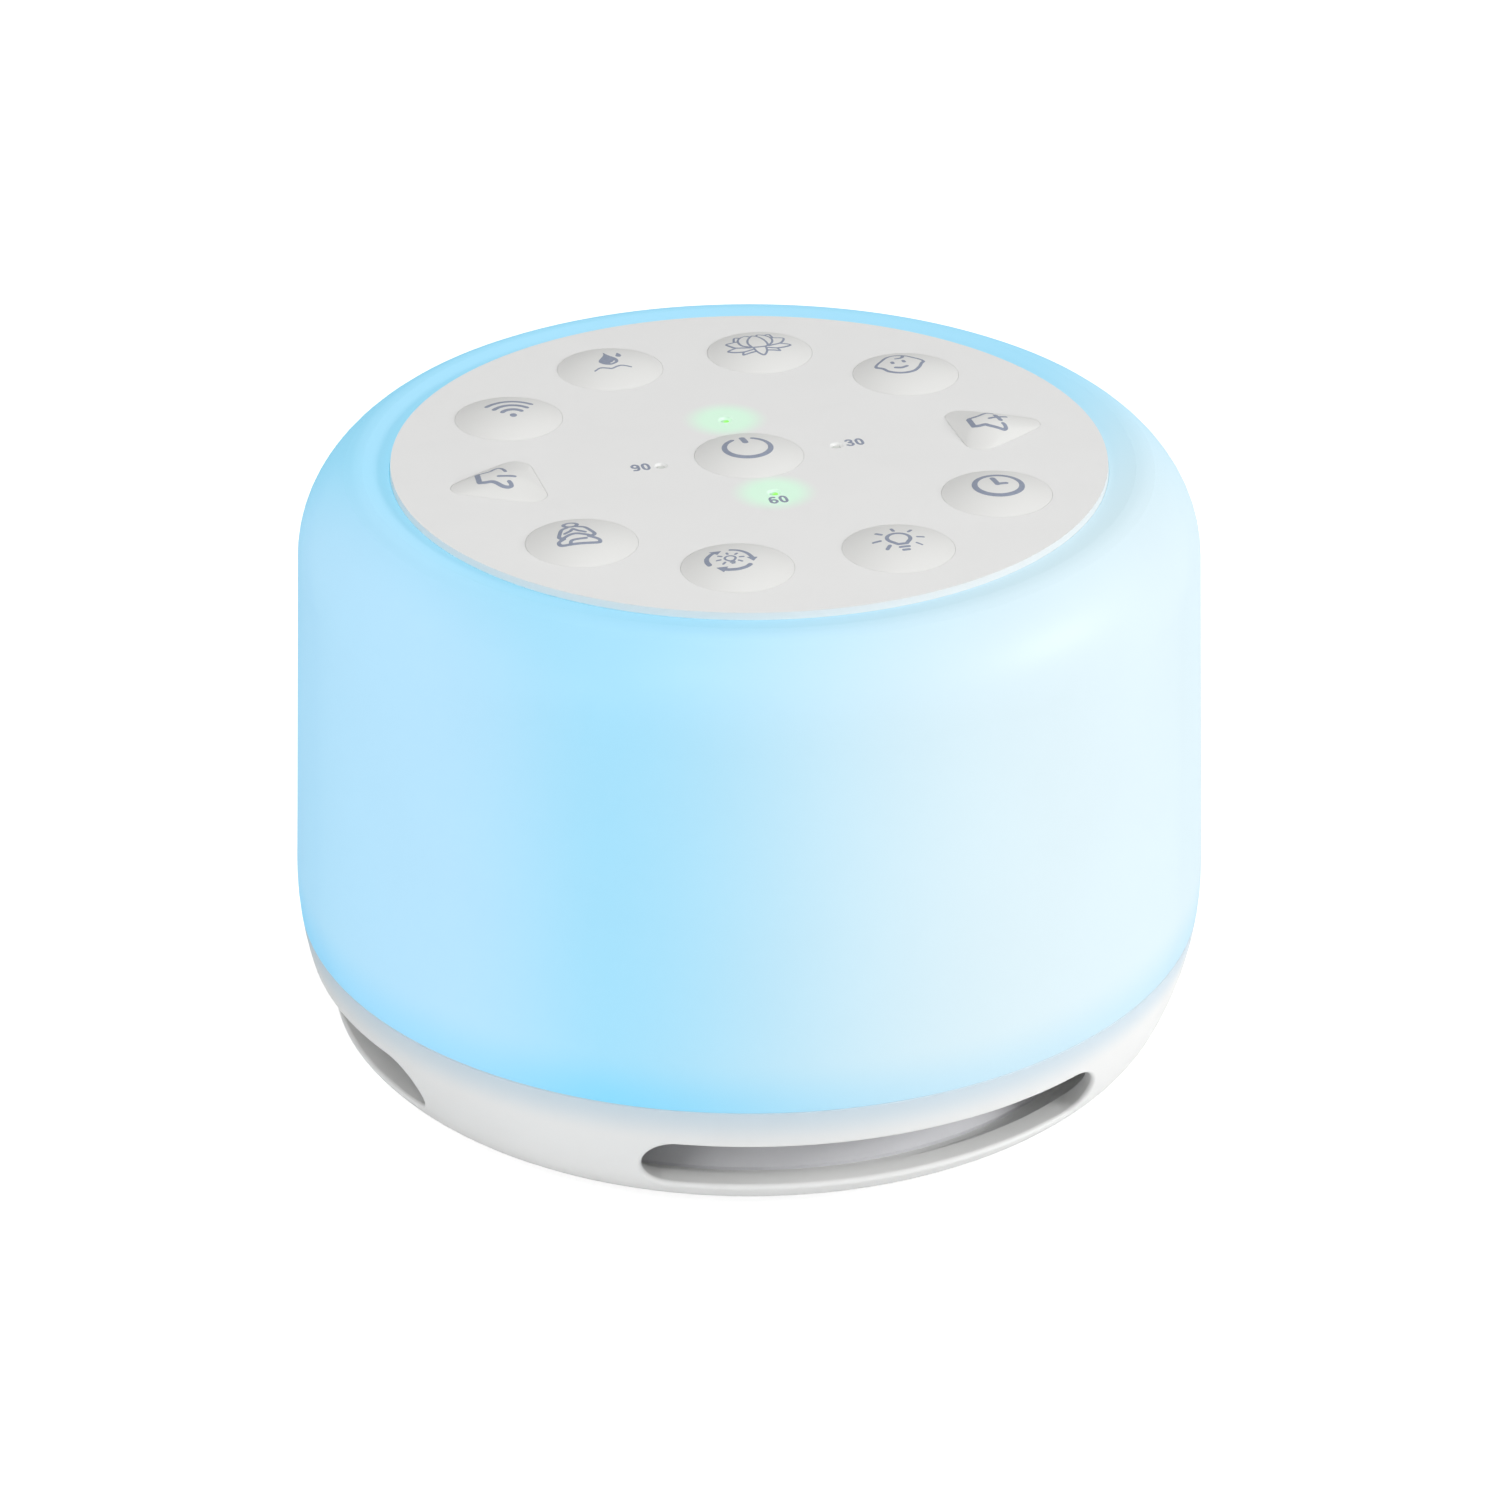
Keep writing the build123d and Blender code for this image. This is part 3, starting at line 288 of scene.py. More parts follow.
def shade_paint():
    """Frosted diffuser, lit from inside, with painted light that makes it pale on the right; deeper
    blue elsewhere.
    """
    paint = Paint("shade_frosted", Roughness=0.40)

    def along(azimuth):
        """1 on the side of the shade that faces the azimuth, 0 on its axis."""
        side = toward(azimuth, 0) / SHADE_RADIUS
        x = paint.math("MULTIPLY", paint.axis("X"), side.x)
        return paint.math("ADD", x, paint.math("MULTIPLY", paint.axis("Y"), side.y))

    deep = paint.mix(paint.ramp(along(LEFT_SIDE), LEFT_FROM, LEFT_FULL), GLOW_DEEP, GLOW_LEFT)
    # painted light: the emission turns pale on the side that faces the right lamp
    glow_and_painted_light = paint.mix(paint.ramp(along(PAINTED_LIGHT_SIDE), PAINTED_LIGHT_FROM, PAINTED_LIGHT_FULL), deep, GLOW_AND_PAINTED_LIGHT)
    facing = paint.node("LayerWeight", {"Blend": 0.5}).outputs["Facing"]
    gloss = paint.ramp(facing, GLOSS_TO, GLOSS_GONE, SHOULDER_GLOSS, 0.0)
    paint.set("Specular IOR Level", gloss)
    foot = paint.ramp(paint.axis("Z"), SEAM_Z, SEAM_Z + FOOT_REACH)
    paint.set("Base Color", paint.mix(foot, FOOT_BODY, paint.mottled(SHADE_BODY, 0.01, 14 * MM)))
    paint.set("Emission Color", glow_and_painted_light)
    uneven = paint.ramp(paint.noise(30 * MM), 0.3, 0.7, 0.985, 1.015)
    level = paint.ramp(paint.axis("Z"), SEAM_Z, SEAM_Z + FOOT_REACH, FOOT_GLOW, 1.0)
    paint.set("Emission Strength", paint.math("MULTIPLY", level, uneven))
    paint.grain(0.18 * MM, 0.003 * MM)
    return paint.material


def pipe_paint():
    """Clear light pipe: two of its four tips are lit green."""
    paint = Paint("light_pipe", Roughness=0.12)
    core = lit_pins(paint, CORE_RADIUS, CORE_EDGE, CORE_SHIFT)
    near = lit_pins(paint, PIN_NEAR, PIN_FAR)
    body = paint.mix(near, paint.mottled(PIN_CLEAR, 0.03, 2 * MM), PIN_LIT)
    paint.set("Base Color", paint.mix(core, body, CORE_BODY))
    paint.set("Emission Color", paint.mix(paint.noise(0.5 * MM), CORE_GREEN, CORE_YELLOW))
    paint.set("Emission Strength", core)
    return paint.material


# ---- the materials of the parts inside ----
def metal(name, colour, roughness, stretch=(1, 1, 14)):
    """Bare metal with fine drawn or plated lines."""
    paint = Paint(name, Metallic=1.0)
    lines = paint.noise(0.6 * MM, 3.0, stretch)
    paint.set("Base Color", paint.mottled(colour, 0.06, 3 * MM))
    paint.set("Roughness", paint.ramp(lines, 0.25, 0.75, roughness - 0.08, roughness + 0.12))
    paint.grain(0, 0.004 * MM, height=lines)
    return paint.material


def fibrous(name, colour, roughness, size, depth):
    """Paper, cloth, foam or ferrite: a matte body with a visible texture."""
    paint = Paint(name, Roughness=roughness)
    paint.set("Base Color", paint.mottled(colour, 0.16, size * 2))
    paint.grain(size, depth, 4.0)
    return paint.material


TRACK_PITCH = 2.4 * MM
TRACK_SHARE = 0.05                 # of the pitch that a copper track takes


def laminate(name, colour, trace):
    """Solder mask over faint copper tracks."""
    paint = Paint(name)
    layout = {"Vector": paint.place, "Scale": 1 / TRACK_PITCH, "Mortar Size": TRACK_SHARE}
    tracks = paint.node("TexBrick", layout)
    under = paint.ramp(tracks.outputs["Fac"], 0.0, 1.0)
    paint.set("Base Color", paint.mix(under, paint.mottled(colour, 0.05, 4 * MM), trace))
    paint.set("Roughness", paint.ramp(paint.noise(3 * MM), 0.3, 0.7, 0.28, 0.4))
    paint.grain(0.2 * MM, 0.003 * MM)
    return paint.material


panel_plastic = panel_paint()
key_plastic = moulded("key_plastic", KEY_COLOUR, 0.45).material
base_plastic = base_paint()
shade_frosted = shade_paint()
light_pipe = pipe_paint()
deflector_plastic = moulded("deflector_plastic", srgb(234, 234, 238), 0.6).material
white_plastic = moulded("white_plastic", srgb(238, 238, 236), 0.4).material
black_plastic = moulded("black_plastic", srgb(38, 38, 40), 0.42).material
connector_plastic = moulded("connector_plastic", srgb(226, 221, 204), 0.45).material
lead_sheath = moulded("lead_sheath", srgb(44, 44, 46), 0.5).material
ribbon_film = moulded("ribbon_film", srgb(208, 208, 212), 0.4).material
led_resin = moulded("led_resin", srgb(246, 240, 205), 0.2, grain_depth=0.001 * MM).material
green_board = laminate("board_laminate", srgb(26, 104, 62), srgb(44, 132, 78))
white_board = laminate("lamp_laminate", srgb(232, 232, 228), srgb(221, 221, 216))
screw_steel = metal("screw_steel", srgb(196, 198, 202), 0.32)
speaker_steel = metal("speaker_steel", srgb(126, 128, 132), 0.4)
can_aluminium = metal("capacitor_can", srgb(206, 207, 210), 0.3)
coil_copper = metal("coil_copper", srgb(196, 122, 74), 0.3, stretch=(1, 1, 40))
ferrite = fibrous("magnet_ferrite", srgb(52, 52, 55), 0.55, 0.4 * MM, 0.02 * MM)
speaker_paper = fibrous("speaker_paper", srgb(48, 47, 46), 0.85, 0.5 * MM, 0.03 * MM)
spider_cloth = fibrous("spider_cloth", srgb(196, 150, 84), 0.8, 0.3 * MM, 0.04 * MM)
foam = fibrous("foam", srgb(42, 42, 43), 0.9, 0.3 * MM, 0.05 * MM)
surround_rubber = fibrous("surround_rubber", srgb(34, 34, 35), 0.6, 0.2 * MM, 0.01 * MM)
foot_rubber = fibrous("foot_rubber", srgb(92, 92, 93), 0.75, 0.25 * MM, 0.015 * MM)
key_print = fibrous("key_print", srgb(140, 148, 166), 0.55, 0.25 * MM, 0.002 * MM)

NODE_MATERIALS = {
    "base_bowl": base_plastic,
    "diffuser_shade": shade_frosted,
    "control_panel": panel_plastic,
    "indicator_light_pipe": light_pipe,
    "key_board": green_board,
    "tact_switches": black_plastic,
    "indicator_leds": led_resin,
    "key_board_screws": screw_steel,
    "chassis_deck": white_plastic,
    "reflector_tower": white_plastic,
    "main_board": green_board,
    "board_chips": black_plastic,
    "board_capacitors": can_aluminium,
    "main_board_screws": screw_steel,
    "ribbon_connectors": connector_plastic,
    "ribbon_cable": ribbon_film,
    "lamp_board": white_board,
    "lamp_leds": led_resin,
    "speaker_gasket": foam,
    "speaker_frame": speaker_steel,
    "speaker_magnet": ferrite,
    "speaker_yoke": speaker_steel,
    "voice_coil": coil_copper,
    "speaker_cone": speaker_paper,
    "speaker_dust_cap": speaker_paper,
    "speaker_surround": surround_rubber,
    "speaker_spider": spider_cloth,
    "speaker_screws": screw_steel,
    "sound_deflector": deflector_plastic,
    "power_inlet": black_plastic,
    "rubber_feet": foot_rubber,
    "base_screws": screw_steel,
    "tower_screws": screw_steel,
    "power_lead": lead_sheath,
    "lamp_lead": lead_sheath,
    "speaker_wires": lead_sheath,
    "lead_plugs": connector_plastic,
    "speaker_terminal": connector_plastic,
}

# the eleven keys, which the list leaves out, share one material
for name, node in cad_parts.items():
    node.data.materials.clear()
    node.data.materials.append(NODE_MATERIALS.get(name, key_plastic))


# ---- printed marks: every shape is a signed distance, negative inside, in millimetres ----
CURVE_STEPS = 8               # straight runs between two points of a smooth curve
ARC_STEP = 6                  # degrees that one straight run of an arc spans
ARC_FEWEST = 6                # runs in the shortest arc
EVERYWHERE = 1e9              # further than any distance in a mark
HAIR = 1e-12                  # keeps a division by a run without length or rise from failing


def spline(points, closed):
    """Points along a smooth curve through the given ones."""
    points = [np.array(p, float) for p in points]
    count = len(points)
    out = []
    for i in range(count if closed else count - 1):
        if closed:
            a, b, c, d = (points[(i + k - 1) % count] for k in range(4))
        else:
            a, b, c, d = (points[min(max(i + k - 1, 0), count - 1)] for k in range(4))
        for t in np.linspace(0, 1, CURVE_STEPS + 1)[:-1]:
            out.append(
                0.5 * (2 * b + (c - a) * t + (2 * a - 5 * b + 4 * c - d) * t**2
                       + (3 * b - a - 3 * c + d) * t**3)
            )
    if not closed:
        out.append(points[-1])
    return out


def to_runs(x, y, points, closed):
    """Distance to a chain of straight runs."""
    chain = list(points) + ([points[0]] if closed else [])
    nearest = np.full(x.shape, EVERYWHERE)
    for (ax, ay), (bx, by) in zip(chain, chain[1:]):
        dx, dy = bx - ax, by - ay
        t = np.clip(((x - ax) * dx + (y - ay) * dy) / max(dx * dx + dy * dy, HAIR), 0, 1)
        nearest = np.minimum(nearest, np.hypot(x - ax - t * dx, y - ay - t * dy))
    return nearest


def stroke(width, *points, smooth=False, closed=False):
    """A line with round ends, through the points."""
    if smooth:
        points = spline(points, closed)
    return lambda x, y: to_runs(x, y, points, closed) - width / 2


def filled(*points, smooth=False):
    """A filled outline."""
    if smooth:
        points = spline(points, True)

    def distance(x, y):
        inside = np.zeros(x.shape, bool)
        for (ax, ay), (bx, by) in zip(points, list(points[1:]) + [points[0]]):
            crosses = (ay > y) != (by > y)
            inside ^= crosses & (x < (bx - ax) * (y - ay) / ((by - ay) or HAIR) + ax)
        return np.where(inside, -1, 1) * to_runs(x, y, points, True)

    return distance


def dot(centre, radius):
    """A filled circle."""
    return lambda x, y: np.hypot(x - centre[0], y - centre[1]) - radius


def arc(width, centre, radius, start=0, end=360):
    """Part of a ring, with round ends; angles run from +X towards +Y."""
    steps = max(ARC_FEWEST, int(abs(end - start) / ARC_STEP))
    angles = np.radians(np.linspace(start, end, steps + 1))
    points = [(centre[0] + radius * math.cos(a), centre[1] + radius * math.sin(a)) for a in angles]
    return lambda x, y: to_runs(x, y, points, False) - width / 2


def without(shape, cut):
    """The shape where the cut isn't."""
    return lambda x, y: np.maximum(shape(x, y), -cut(x, y))


def moved(shapes, right):
    """The shapes, further right."""
    return [lambda x, y, shape=shape: shape(x - right, y) for shape in shapes]


def surface_of(node):
    """Height finder for the top of a CAD node."""
    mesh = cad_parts[node].data
    tree = BVHTree.FromPolygons([v.co for v in mesh.vertices], [p.vertices for p in mesh.polygons])

    def height(x, y):
        return tree.ray_cast(Vector((x, y, 1.0)), Vector((0, 0, -1)))[0].z

    return height


PRINT_CELL = 0.07             # millimetres between the points that follow a mark's outline
PRINT_RISE = 0.012 * MM       # how proud the ink stands
PRINT_DEPTH = 0.02 * MM
KEY_HALF = 4.6                # half the side of the square that holds a mark, in millimetres
MINUTES_HALF = 1.4


def traced(line, field, place):
    """Points and faces of the squares inside a mark, cut off along its outline."""
    points, numbers, faces = [], {}, []

    def point(key, x, y):
        if key not in numbers:
            numbers[key] = len(points)
            points.append(place(x, y))
        return numbers[key]

    squares = range(len(line) - 1)
    for i, j in itertools.product(squares, squares):
        corners = [(i, j), (i + 1, j), (i + 1, j + 1), (i, j + 1)]
        if min(field[c] for c in corners) >= 0:
            continue
        ring = []
        for here, there in zip(corners, corners[1:] + corners[:1]):
            a, b = field[here], field[there]
            if a < 0:
                ring.append(point(here, line[here[0]], line[here[1]]))
            if (a < 0) != (b < 0):
                t = a / (a - b)
                x = line[here[0]] + t * (line[there[0]] - line[here[0]])
                y = line[here[1]] + t * (line[there[1]] - line[here[1]])
                ring.append(point((min(here, there), max(here, there)), x, y))
        if len(ring) > 2:
            faces.append(ring)
    return points, faces


def printed(name, node, body, middle, shapes, half):
    """A thin printed mark that lies on the top of a CAD node, no higher than the machine."""
    line = np.linspace(-half, half, int(2 * half / PRINT_CELL) + 1)
    gx, gy = np.meshgrid(line, line, indexing="ij")
    field = np.min([shape(gx, gy) for shape in shapes], axis=0)
    height = surface_of(node)

    def place(x, y):
        fx, fy = middle[0] + x * MM, middle[1] + y * MM
        return fx, fy, min(height(fx, fy) + PRINT_RISE, cad_high[2])

    points, faces = traced(line, field, place)
    mesh = bpy.data.meshes.new(name)
    mesh.from_pydata(points, [], faces)
    mesh.shade_smooth()
    mesh.materials.append(key_print)
    mark = bpy.data.objects.new(name, mesh)
    bpy.context.collection.objects.link(mark)
    thick = mark.modifiers.new("ink", "SOLIDIFY")
    thick.thickness = PRINT_DEPTH
    thick.offset = -1
    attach(mark, body)


LEAF_LINE = 0.27              # width of the lotus's lines
FIGURE_STEP = 1.20            # between the middles of two figures


def rays(width, centre, inner, outer, angles):
    """Short lines that point away from the centre."""
    out = []
    for angle in angles:
        c, s = math.cos(math.radians(angle)), math.sin(math.radians(angle))
        start = (centre[0] + inner * c, centre[1] + inner * s)
        end = (centre[0] + outer * c, centre[1] + outer * s)
        out.append(stroke(width, start, end))
    return out


def bulb(centre, radius, line):
    """Light bulb with a cap of two threads."""
    def at(right, up):
        """A point given in radii from the centre."""
        return centre[0] + right * radius, centre[1] + up * radius

    return [
        arc(line, centre, radius, -42, 222),
        stroke(line, at(-0.74, -0.67), at(-0.38, -1.16), at(0.38, -1.16), at(0.74, -0.67)),
        stroke(line * 0.85, at(-0.34, -1.66), at(0.44, -1.66)),
        stroke(line * 0.85, at(-0.18, -2.14), at(0.30, -2.14)),
    ]


def leaf(*points):
    """A petal's edge: a thin smooth line."""
    return stroke(LEAF_LINE, *points, smooth=True)


def digit(which):
    """Bold figure, 1 millimetre wide and 1.9 tall, about its middle."""
    loop = [(0, 0.76), (0.30, 0.45), (0.30, -0.45), (0, -0.76), (-0.30, -0.45), (-0.30, 0.45)]
    small = [(0.02, 0.10), (0.32, -0.12), (0.32, -0.50), (0, -0.76), (-0.32, -0.50), (-0.32, -0.12)]
    hook = [(-0.32, -0.35), (-0.32, 0.30), (-0.12, 0.70), (0.28, 0.70)]
    three = [(-0.32, 0.55), (-0.08, 0.77), (0.27, 0.64), (0.27, 0.24), (-0.04, 0.05),
             (0.30, -0.18), (0.30, -0.60), (-0.05, -0.78), (-0.36, -0.56)]
    shapes = {
        "0": [stroke(0.33, *loop, smooth=True, closed=True)],
        "6": [stroke(0.32, *small, smooth=True, closed=True), stroke(0.32, *hook, smooth=True)],
        "3": [stroke(0.32, *three, smooth=True)],
    }
    shapes["9"] = [lambda x, y, shape=shape: shape(-x, -y) for shape in shapes["6"]]
    return shapes[which]


def label(text):
    """Two figures side by side."""
    return moved(digit(text[0]), -FIGURE_STEP / 2) + moved(digit(text[1]), FIGURE_STEP / 2)


# each mark's points are in millimetres from the middle of its key
power_mark = [
    arc(0.63, (-0.15, 0.15), 2.68, 118, 422),
    stroke(0.72, (-0.1, 1.3), (-0.1, 2.85)),
]
timer_mark = [
    arc(0.66, (0.18, 0.12), 2.70),
    stroke(0.64, (0.0, 1.8), (0.06, 0.04)),
    stroke(0.54, (0.06, 0.06), (1.1, 0.08)),
]
light_mark = (
    bulb((0.06, 0.26), 1.3, 0.46)
    + [stroke(0.40, (0.1, 3.25), (0.1, 2.4)), stroke(0.42, (-1.9, 2.4), (-1.5, 1.8))]
    + [stroke(0.34, (2.15, 2.4), (1.65, 1.8)), stroke(0.34, (2.25, 0.24), (2.95, 0.24))]
    + [stroke(0.40, (-2.85, 0.2), (-2.1, 0.2)), stroke(0.46, (-1.85, -1.85), (-1.42, -1.28))]
    + [stroke(0.26, (1.7, -1.22), (2.2, -1.7))]
)
cycle_mark = (
    bulb((-0.8, 0.25), 0.6, 0.27)
    + rays(0.30, (-0.8, 0.25), 1.12, 1.5, (90, 45, 0, -45, 135, 180, 225))
    + [
        stroke(0.55, (-3.3, -0.3), (-3.38, 0.5), (-3.15, 1.4), (-2.5, 2.2), (-1.95, 2.55),
               smooth=True),
        filled((-1.15, 2.7), (-2.5, 3.15), (-1.85, 1.75)),
        stroke(0.50, (-0.1, 2.6), (0.65, 2.2), (1.3, 1.35), (1.6, 0.3), (1.62, 0.0), smooth=True),
        filled((1.55, -0.95), (1.0, 0.05), (2.3, 0.02)),
        stroke(0.50, (1.0, -1.65), (0.4, -2.1), (-0.55, -2.35), (-1.5, -2.2), (-1.95, -2.0),
               smooth=True),
        filled((-2.8, -1.25), (-1.5, -1.55), (-2.25, -2.45)),
    ]
)
NOISE_FOOT = (0.2, -1.6)
noise_mark = [
    dot(NOISE_FOOT, 0.42),
    arc(0.60, NOISE_FOOT, 1.5, 40, 134),
    arc(0.62, NOISE_FOOT, 2.78, 43, 130),
    arc(0.64, NOISE_FOOT, 4.2, 48, 124),
]
drop = filled((-0.16, 2.9), (-0.02, 2.1), (0.28, 1.3), (0.78, 0.5), (0.95, -0.15), (0.7, -0.85),
              (-0.15, -1.3), (-0.95, -1.0), (-1.4, -0.3), (-1.3, 0.25), (-0.95, 0.8),
              (-0.5, 1.5), (-0.28, 2.2), smooth=True)
water_mark = [
    without(drop, arc(0.20, (-0.3, -0.1), 0.78, 285, 340)),
    filled((1.42, 2.3), (1.68, 1.6), (1.6, 1.0), (1.25, 0.8), (0.95, 1.1), (1.15, 1.65),
           smooth=True),
    stroke(0.26, (-2.35, -2.1), (-1.6, -1.7), (-0.8, -2.0), (-0.3, -2.2), (0.5, -1.8),
           (1.15, -1.7), (2.05, -2.1), smooth=True),
]
lotus_mark = [
    leaf((-1.15, -0.8), (-1.35, 0.4), (-1.1, 1.5), (-0.6, 2.4), (-0.1, 3.0), (0.4, 2.4),
         (0.75, 1.3), (0.9, 0.0), (0.7, -0.8), (-0.2, -0.95), (-1.15, -0.8)),
    leaf((-1.0, -0.9), (-1.0, -1.4), (-0.8, -2.2), (-0.25, -2.9), (0.3, -2.2), (0.45, -1.4),
         (0.45, -0.9)),
    leaf((-1.2, -0.8), (-2.15, 0.1), (-2.3, 1.4), (-1.9, 2.6), (-1.0, 3.3), (-0.5, 2.7)),
    leaf((0.8, -0.8), (1.55, 0.1), (1.85, 1.4), (1.5, 2.6), (0.7, 3.3), (0.3, 2.7)),
    leaf((-2.7, 1.9), (-2.5, 2.7), (-2.2, 3.4), (-1.7, 2.9)),
    leaf((2.1, 1.9), (2.1, 2.7), (2.05, 3.4), (1.4, 2.9)),
    leaf((-2.3, 1.7), (-3.0, 1.75), (-3.7, 1.8), (-3.4, 0.7), (-2.9, -0.1), (-1.4, -0.85)),
    leaf((1.85, 1.7), (2.7, 1.75), (3.45, 1.8), (3.1, 0.7), (2.4, -0.2), (0.9, -0.85)),
    leaf((-2.9, -0.1), (-4.0, -0.3), (-3.4, -1.05), (-2.3, -1.5), (-1.1, -1.3)),
    leaf((2.4, -0.2), (3.7, -0.4), (3.0, -1.1), (1.8, -1.5), (0.6, -1.3)),
    leaf((-2.4, -1.5), (-2.6, -2.1), (-1.9, -2.05), (-0.9, -1.9)),
    leaf((1.7, -1.5), (1.95, -2.15), (1.3, -2.05), (0.4, -1.9)),
]
baby_mark = [
    stroke(0.38, (-0.3, 3.95), (-1.3, 3.6), (-2.3, 2.5), (-3.2, 1.5), (-3.35, 0.85), (-2.8, 0.1),
           (-2.4, -0.9), (-1.5, -1.65), (-0.5, -1.9), (0.6, -1.65), (1.5, -0.7), (2.05, 0.3),
           (2.5, 0.95), (2.3, 1.6), (1.65, 2.4), (0.9, 3.45), smooth=True, closed=True),
    stroke(0.42, (-0.5, 2.45), (0.05, 2.5), (0.5, 3.0), (0.6, 3.7), smooth=True),
    stroke(0.46, (-1.3, 1.0), (-1.3, 1.4)),
    stroke(0.46, (0.1, 1.0), (0.1, 1.4)),
    stroke(0.44, (-1.35, -0.3), (-0.66, -0.58), (0.05, -0.3), smooth=True),
]
meditate_mark = [
    arc(0.46, (-0.6, 2.95), 0.76),
    stroke(0.46, (-1.2, 2.1), (-1.85, 1.75), (-2.3, 0.8), (-2.6, -0.15), (-2.2, -0.6), smooth=True),
    stroke(0.46, (-0.05, 2.05), (0.7, 1.65), (1.1, 0.7), (1.4, -0.3), (1.05, -0.8), smooth=True),
    stroke(0.42, (-1.8, 0.5), (-1.1, 0.9), (-0.65, 1.5), (-0.2, 0.8), (0.45, 0.25)),
    stroke(0.46, (-2.5, -0.7), (-1.4, 0.0), (-0.6, 0.1), (0.2, -0.3), (0.95, -0.85), smooth=True),
    stroke(0.46, (-2.2, -0.75), (-2.9, -1.2), (-2.75, -1.95), (-1.4, -2.15), (1.1, -2.4),
           (1.6, -2.1), (1.45, -1.55), (0.6, -0.9), smooth=True),
    stroke(0.42, (-1.7, -1.8), (-1.35, -1.3), (0.2, -1.25), smooth=True),
]
louder_mark = [
    stroke(0.58, (-1.84, 1.05), (-1.84, -0.9)),
    stroke(0.42, (-1.8, 1.2), (-0.75, 1.25), (-0.1, 1.6), (0.5, 2.1), (0.9, 2.2), (1.3, 1.95),
           smooth=True),
    stroke(0.50, (-1.84, -0.95), (-1.25, -1.2), (-0.5, -1.25), (-0.1, -1.6), (1.0, -2.25),
           (1.4, -2.4), (1.72, -2.1), (1.74, -1.5), (1.65, -1.25), smooth=True),
    stroke(0.40, (0.4, 0.12), (2.6, 0.62)),
    stroke(0.56, (1.38, 1.05), (1.58, -0.45)),
]
softer_mark = [
    stroke(0.62, (-3.05, 2.0), (-3.3, -0.35)),
    stroke(0.42, (-3.0, 2.1), (-2.1, 1.85), (-1.5, 1.9), (-0.9, 2.4), (-0.35, 2.6), (-0.07, 1.9),
           (0.03, 0.8), smooth=True),
    stroke(0.52, (-3.3, -0.55), (-2.65, -0.85), (-2.0, -1.05), (-1.55, -1.5), (-1.05, -2.25),
           (-0.5, -2.65), (-0.06, -2.55), (-0.03, -2.05), (-0.12, -1.7), smooth=True),
    stroke(0.46, (-1.0, -0.23), (0.75, -0.70)),
]

KEY_MARKS = {
    "key_power": power_mark,
    "key_timer": timer_mark,
    "key_light": light_mark,
    "key_color_cycle": cycle_mark,
    "key_meditate": meditate_mark,
    "key_white_noise": noise_mark,
    "key_water": water_mark,
    "key_lotus": lotus_mark,
    "key_baby": baby_mark,
    "key_volume_up": louder_mark,
    "key_volume_down": softer_mark,
}
VOLUME_MIDDLE = 28.66 * MM     # from the machine's axis to the middle of a volume key's mark
MINUTES = {"30": (12.75, 0.35), "60": (-0.06, -12.53), "90": (-12.87, 0.2)}

for name, shapes in KEY_MARKS.items():
    low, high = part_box(name)
    middle = (low + high) / 2
    if name.startswith("key_volume"):
        middle.x = math.copysign(VOLUME_MIDDLE, middle.x)
    printed("mark_" + name.removeprefix("key_"), name, name + "_cap", middle, shapes, KEY_HALF)

for text, (x, y) in MINUTES.items():
    middle = (x * MM, y * MM)
    printed("mark_minutes_" + text, "control_panel", "housing", middle, label(text), MINUTES_HALF)


# ---- table, light and background ----
def emission_for_camera(tree, shown, real):
    """shown to the camera, real where it lights the machine or is mirrored in it."""
    path = tree.nodes.new("ShaderNodeLightPath")
    seen = tree.nodes.new("ShaderNodeMath")
    seen.operation = "MAXIMUM"
    tree.links.new(path.outputs["Is Camera Ray"], seen.inputs[0])
    tree.links.new(path.outputs["Is Transmission Ray"], seen.inputs[1])
    mixed = tree.nodes.new("ShaderNodeMixShader")
    tree.links.new(seen.outputs[0], mixed.inputs[0])
    tree.links.new(real, mixed.inputs[1])
    tree.links.new(shown, mixed.inputs[2])
    return mixed.outputs[0]


WHITE = (1.0, 1.0, 1.0, 1.0)
WORLD_STRENGTH = 0.40
BACKGROUND_SHOWN = 1.0
TABLE_HALF = 3.0                   # metres
TABLE_SHOWN = 0.44                 # share of the light on the table that the camera sees
TABLE_WHITE = 0.83                 # added to it, so that the table is white out of the shadow


def make_world():
    """Dim white room that the camera sees as plain white."""
    world = bpy.data.worlds.new("studio")
    world.use_nodes = True
    bpy.context.scene.world = world
    tree = world.node_tree
    tree.nodes.clear()
    real = tree.nodes.new("ShaderNodeBackground")
    real.inputs["Color"].default_value = WHITE
    real.inputs["Strength"].default_value = WORLD_STRENGTH
    shown = tree.nodes.new("ShaderNodeBackground")
    shown.inputs["Color"].default_value = WHITE
    shown.inputs["Strength"].default_value = BACKGROUND_SHOWN
    out = tree.nodes.new("ShaderNodeOutputWorld")
    mixed = emission_for_camera(tree, shown.outputs[0], real.outputs[0])
    tree.links.new(mixed, out.inputs["Surface"])


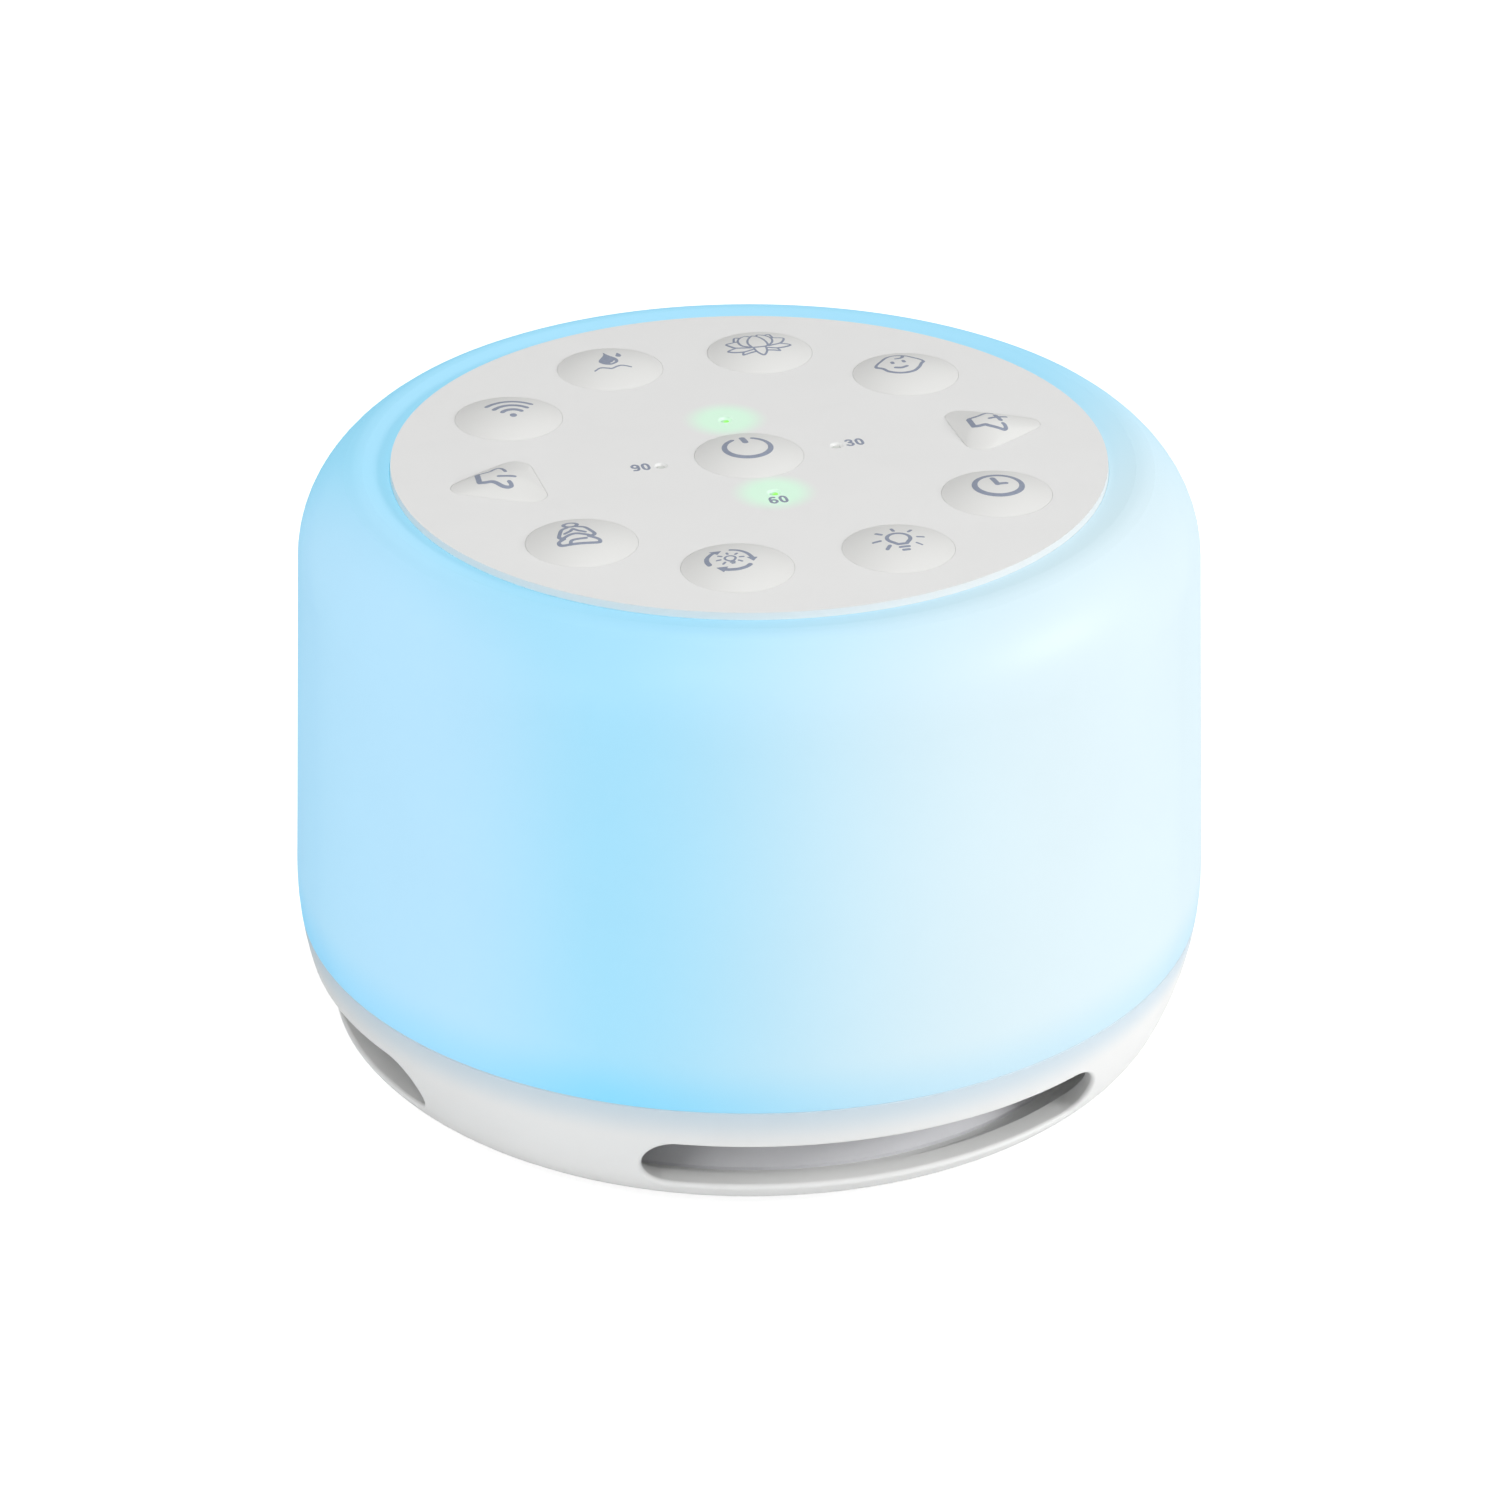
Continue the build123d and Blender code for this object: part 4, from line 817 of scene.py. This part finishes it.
def make_table():
    """White table that keeps the machine's shadow and melts into the background."""
    corners = [(-1, -1), (1, -1), (1, 1), (-1, 1)]
    mesh = bpy.data.meshes.new("table")
    mesh.from_pydata([(x * TABLE_HALF, y * TABLE_HALF, 0) for x, y in corners], [], [(0, 1, 2, 3)])
    table = bpy.data.objects.new("table", mesh)
    bpy.context.collection.objects.link(table)
    paint = Paint("table_white", Roughness=0.6, Specular_IOR_Level=0.2)
    paint.set("Base Color", paint.mottled(srgb(250, 250, 250), 0.004, 0.4))
    grey = paint.node("BsdfDiffuse", {"Color": times(WHITE, (TABLE_SHOWN,) * 3)})
    white = paint.node("Emission", {"Color": WHITE, "Strength": TABLE_WHITE})
    shown = paint.node("AddShader")
    paint.feed(shown.inputs[0], grey.outputs[0])
    paint.feed(shown.inputs[1], white.outputs[0])
    mixed = emission_for_camera(paint.tree, shown.outputs[0], paint.shader.outputs[0])
    paint.feed(paint.tree.nodes["Material Output"].inputs["Surface"], mixed)
    mesh.materials.append(paint.material)
    table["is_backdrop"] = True


LIGHT_AIM = Vector((0, 0, 0.04))
LIGHT_DISTANCE = 1.0
# azimuth and elevation in degrees, width and height of the soft box in metres, power in watts
RIGHT_LIGHT = (CAMERA_AZIMUTH + 80, 20, 0.45, 0.2, 5.2)
LEFT_LIGHT = (CAMERA_AZIMUTH - 40, 20, 0.35, 0.2, 1.6)
FRONT_LIGHT = (CAMERA_AZIMUTH - 15, 45, 0.35, 0.35, 2.0)
TOP_LIGHT = (CAMERA_AZIMUTH, 90, 0.35, 0.35, 2.2)


def area_light(name, azimuth, elevation, width, height, power):
    """Soft box that looks at the machine."""
    data = bpy.data.lights.new(name, "AREA")
    data.shape = "RECTANGLE"
    data.size, data.size_y = width, height
    data.energy = power
    light = bpy.data.objects.new(name, data)
    bpy.context.collection.objects.link(light)
    back = toward(azimuth, elevation)
    light.location = LIGHT_AIM + back * LIGHT_DISTANCE
    light.rotation_mode = "QUATERNION"
    light.rotation_quaternion = (-back).to_track_quat("-Z", "Y")


make_world()
make_table()
area_light("right_light", *RIGHT_LIGHT)
area_light("left_light", *LEFT_LIGHT)
area_light("front_light", *FRONT_LIGHT)
area_light("top_light", *TOP_LIGHT)

bpy.context.scene.view_settings.view_transform = "Standard"

low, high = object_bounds()
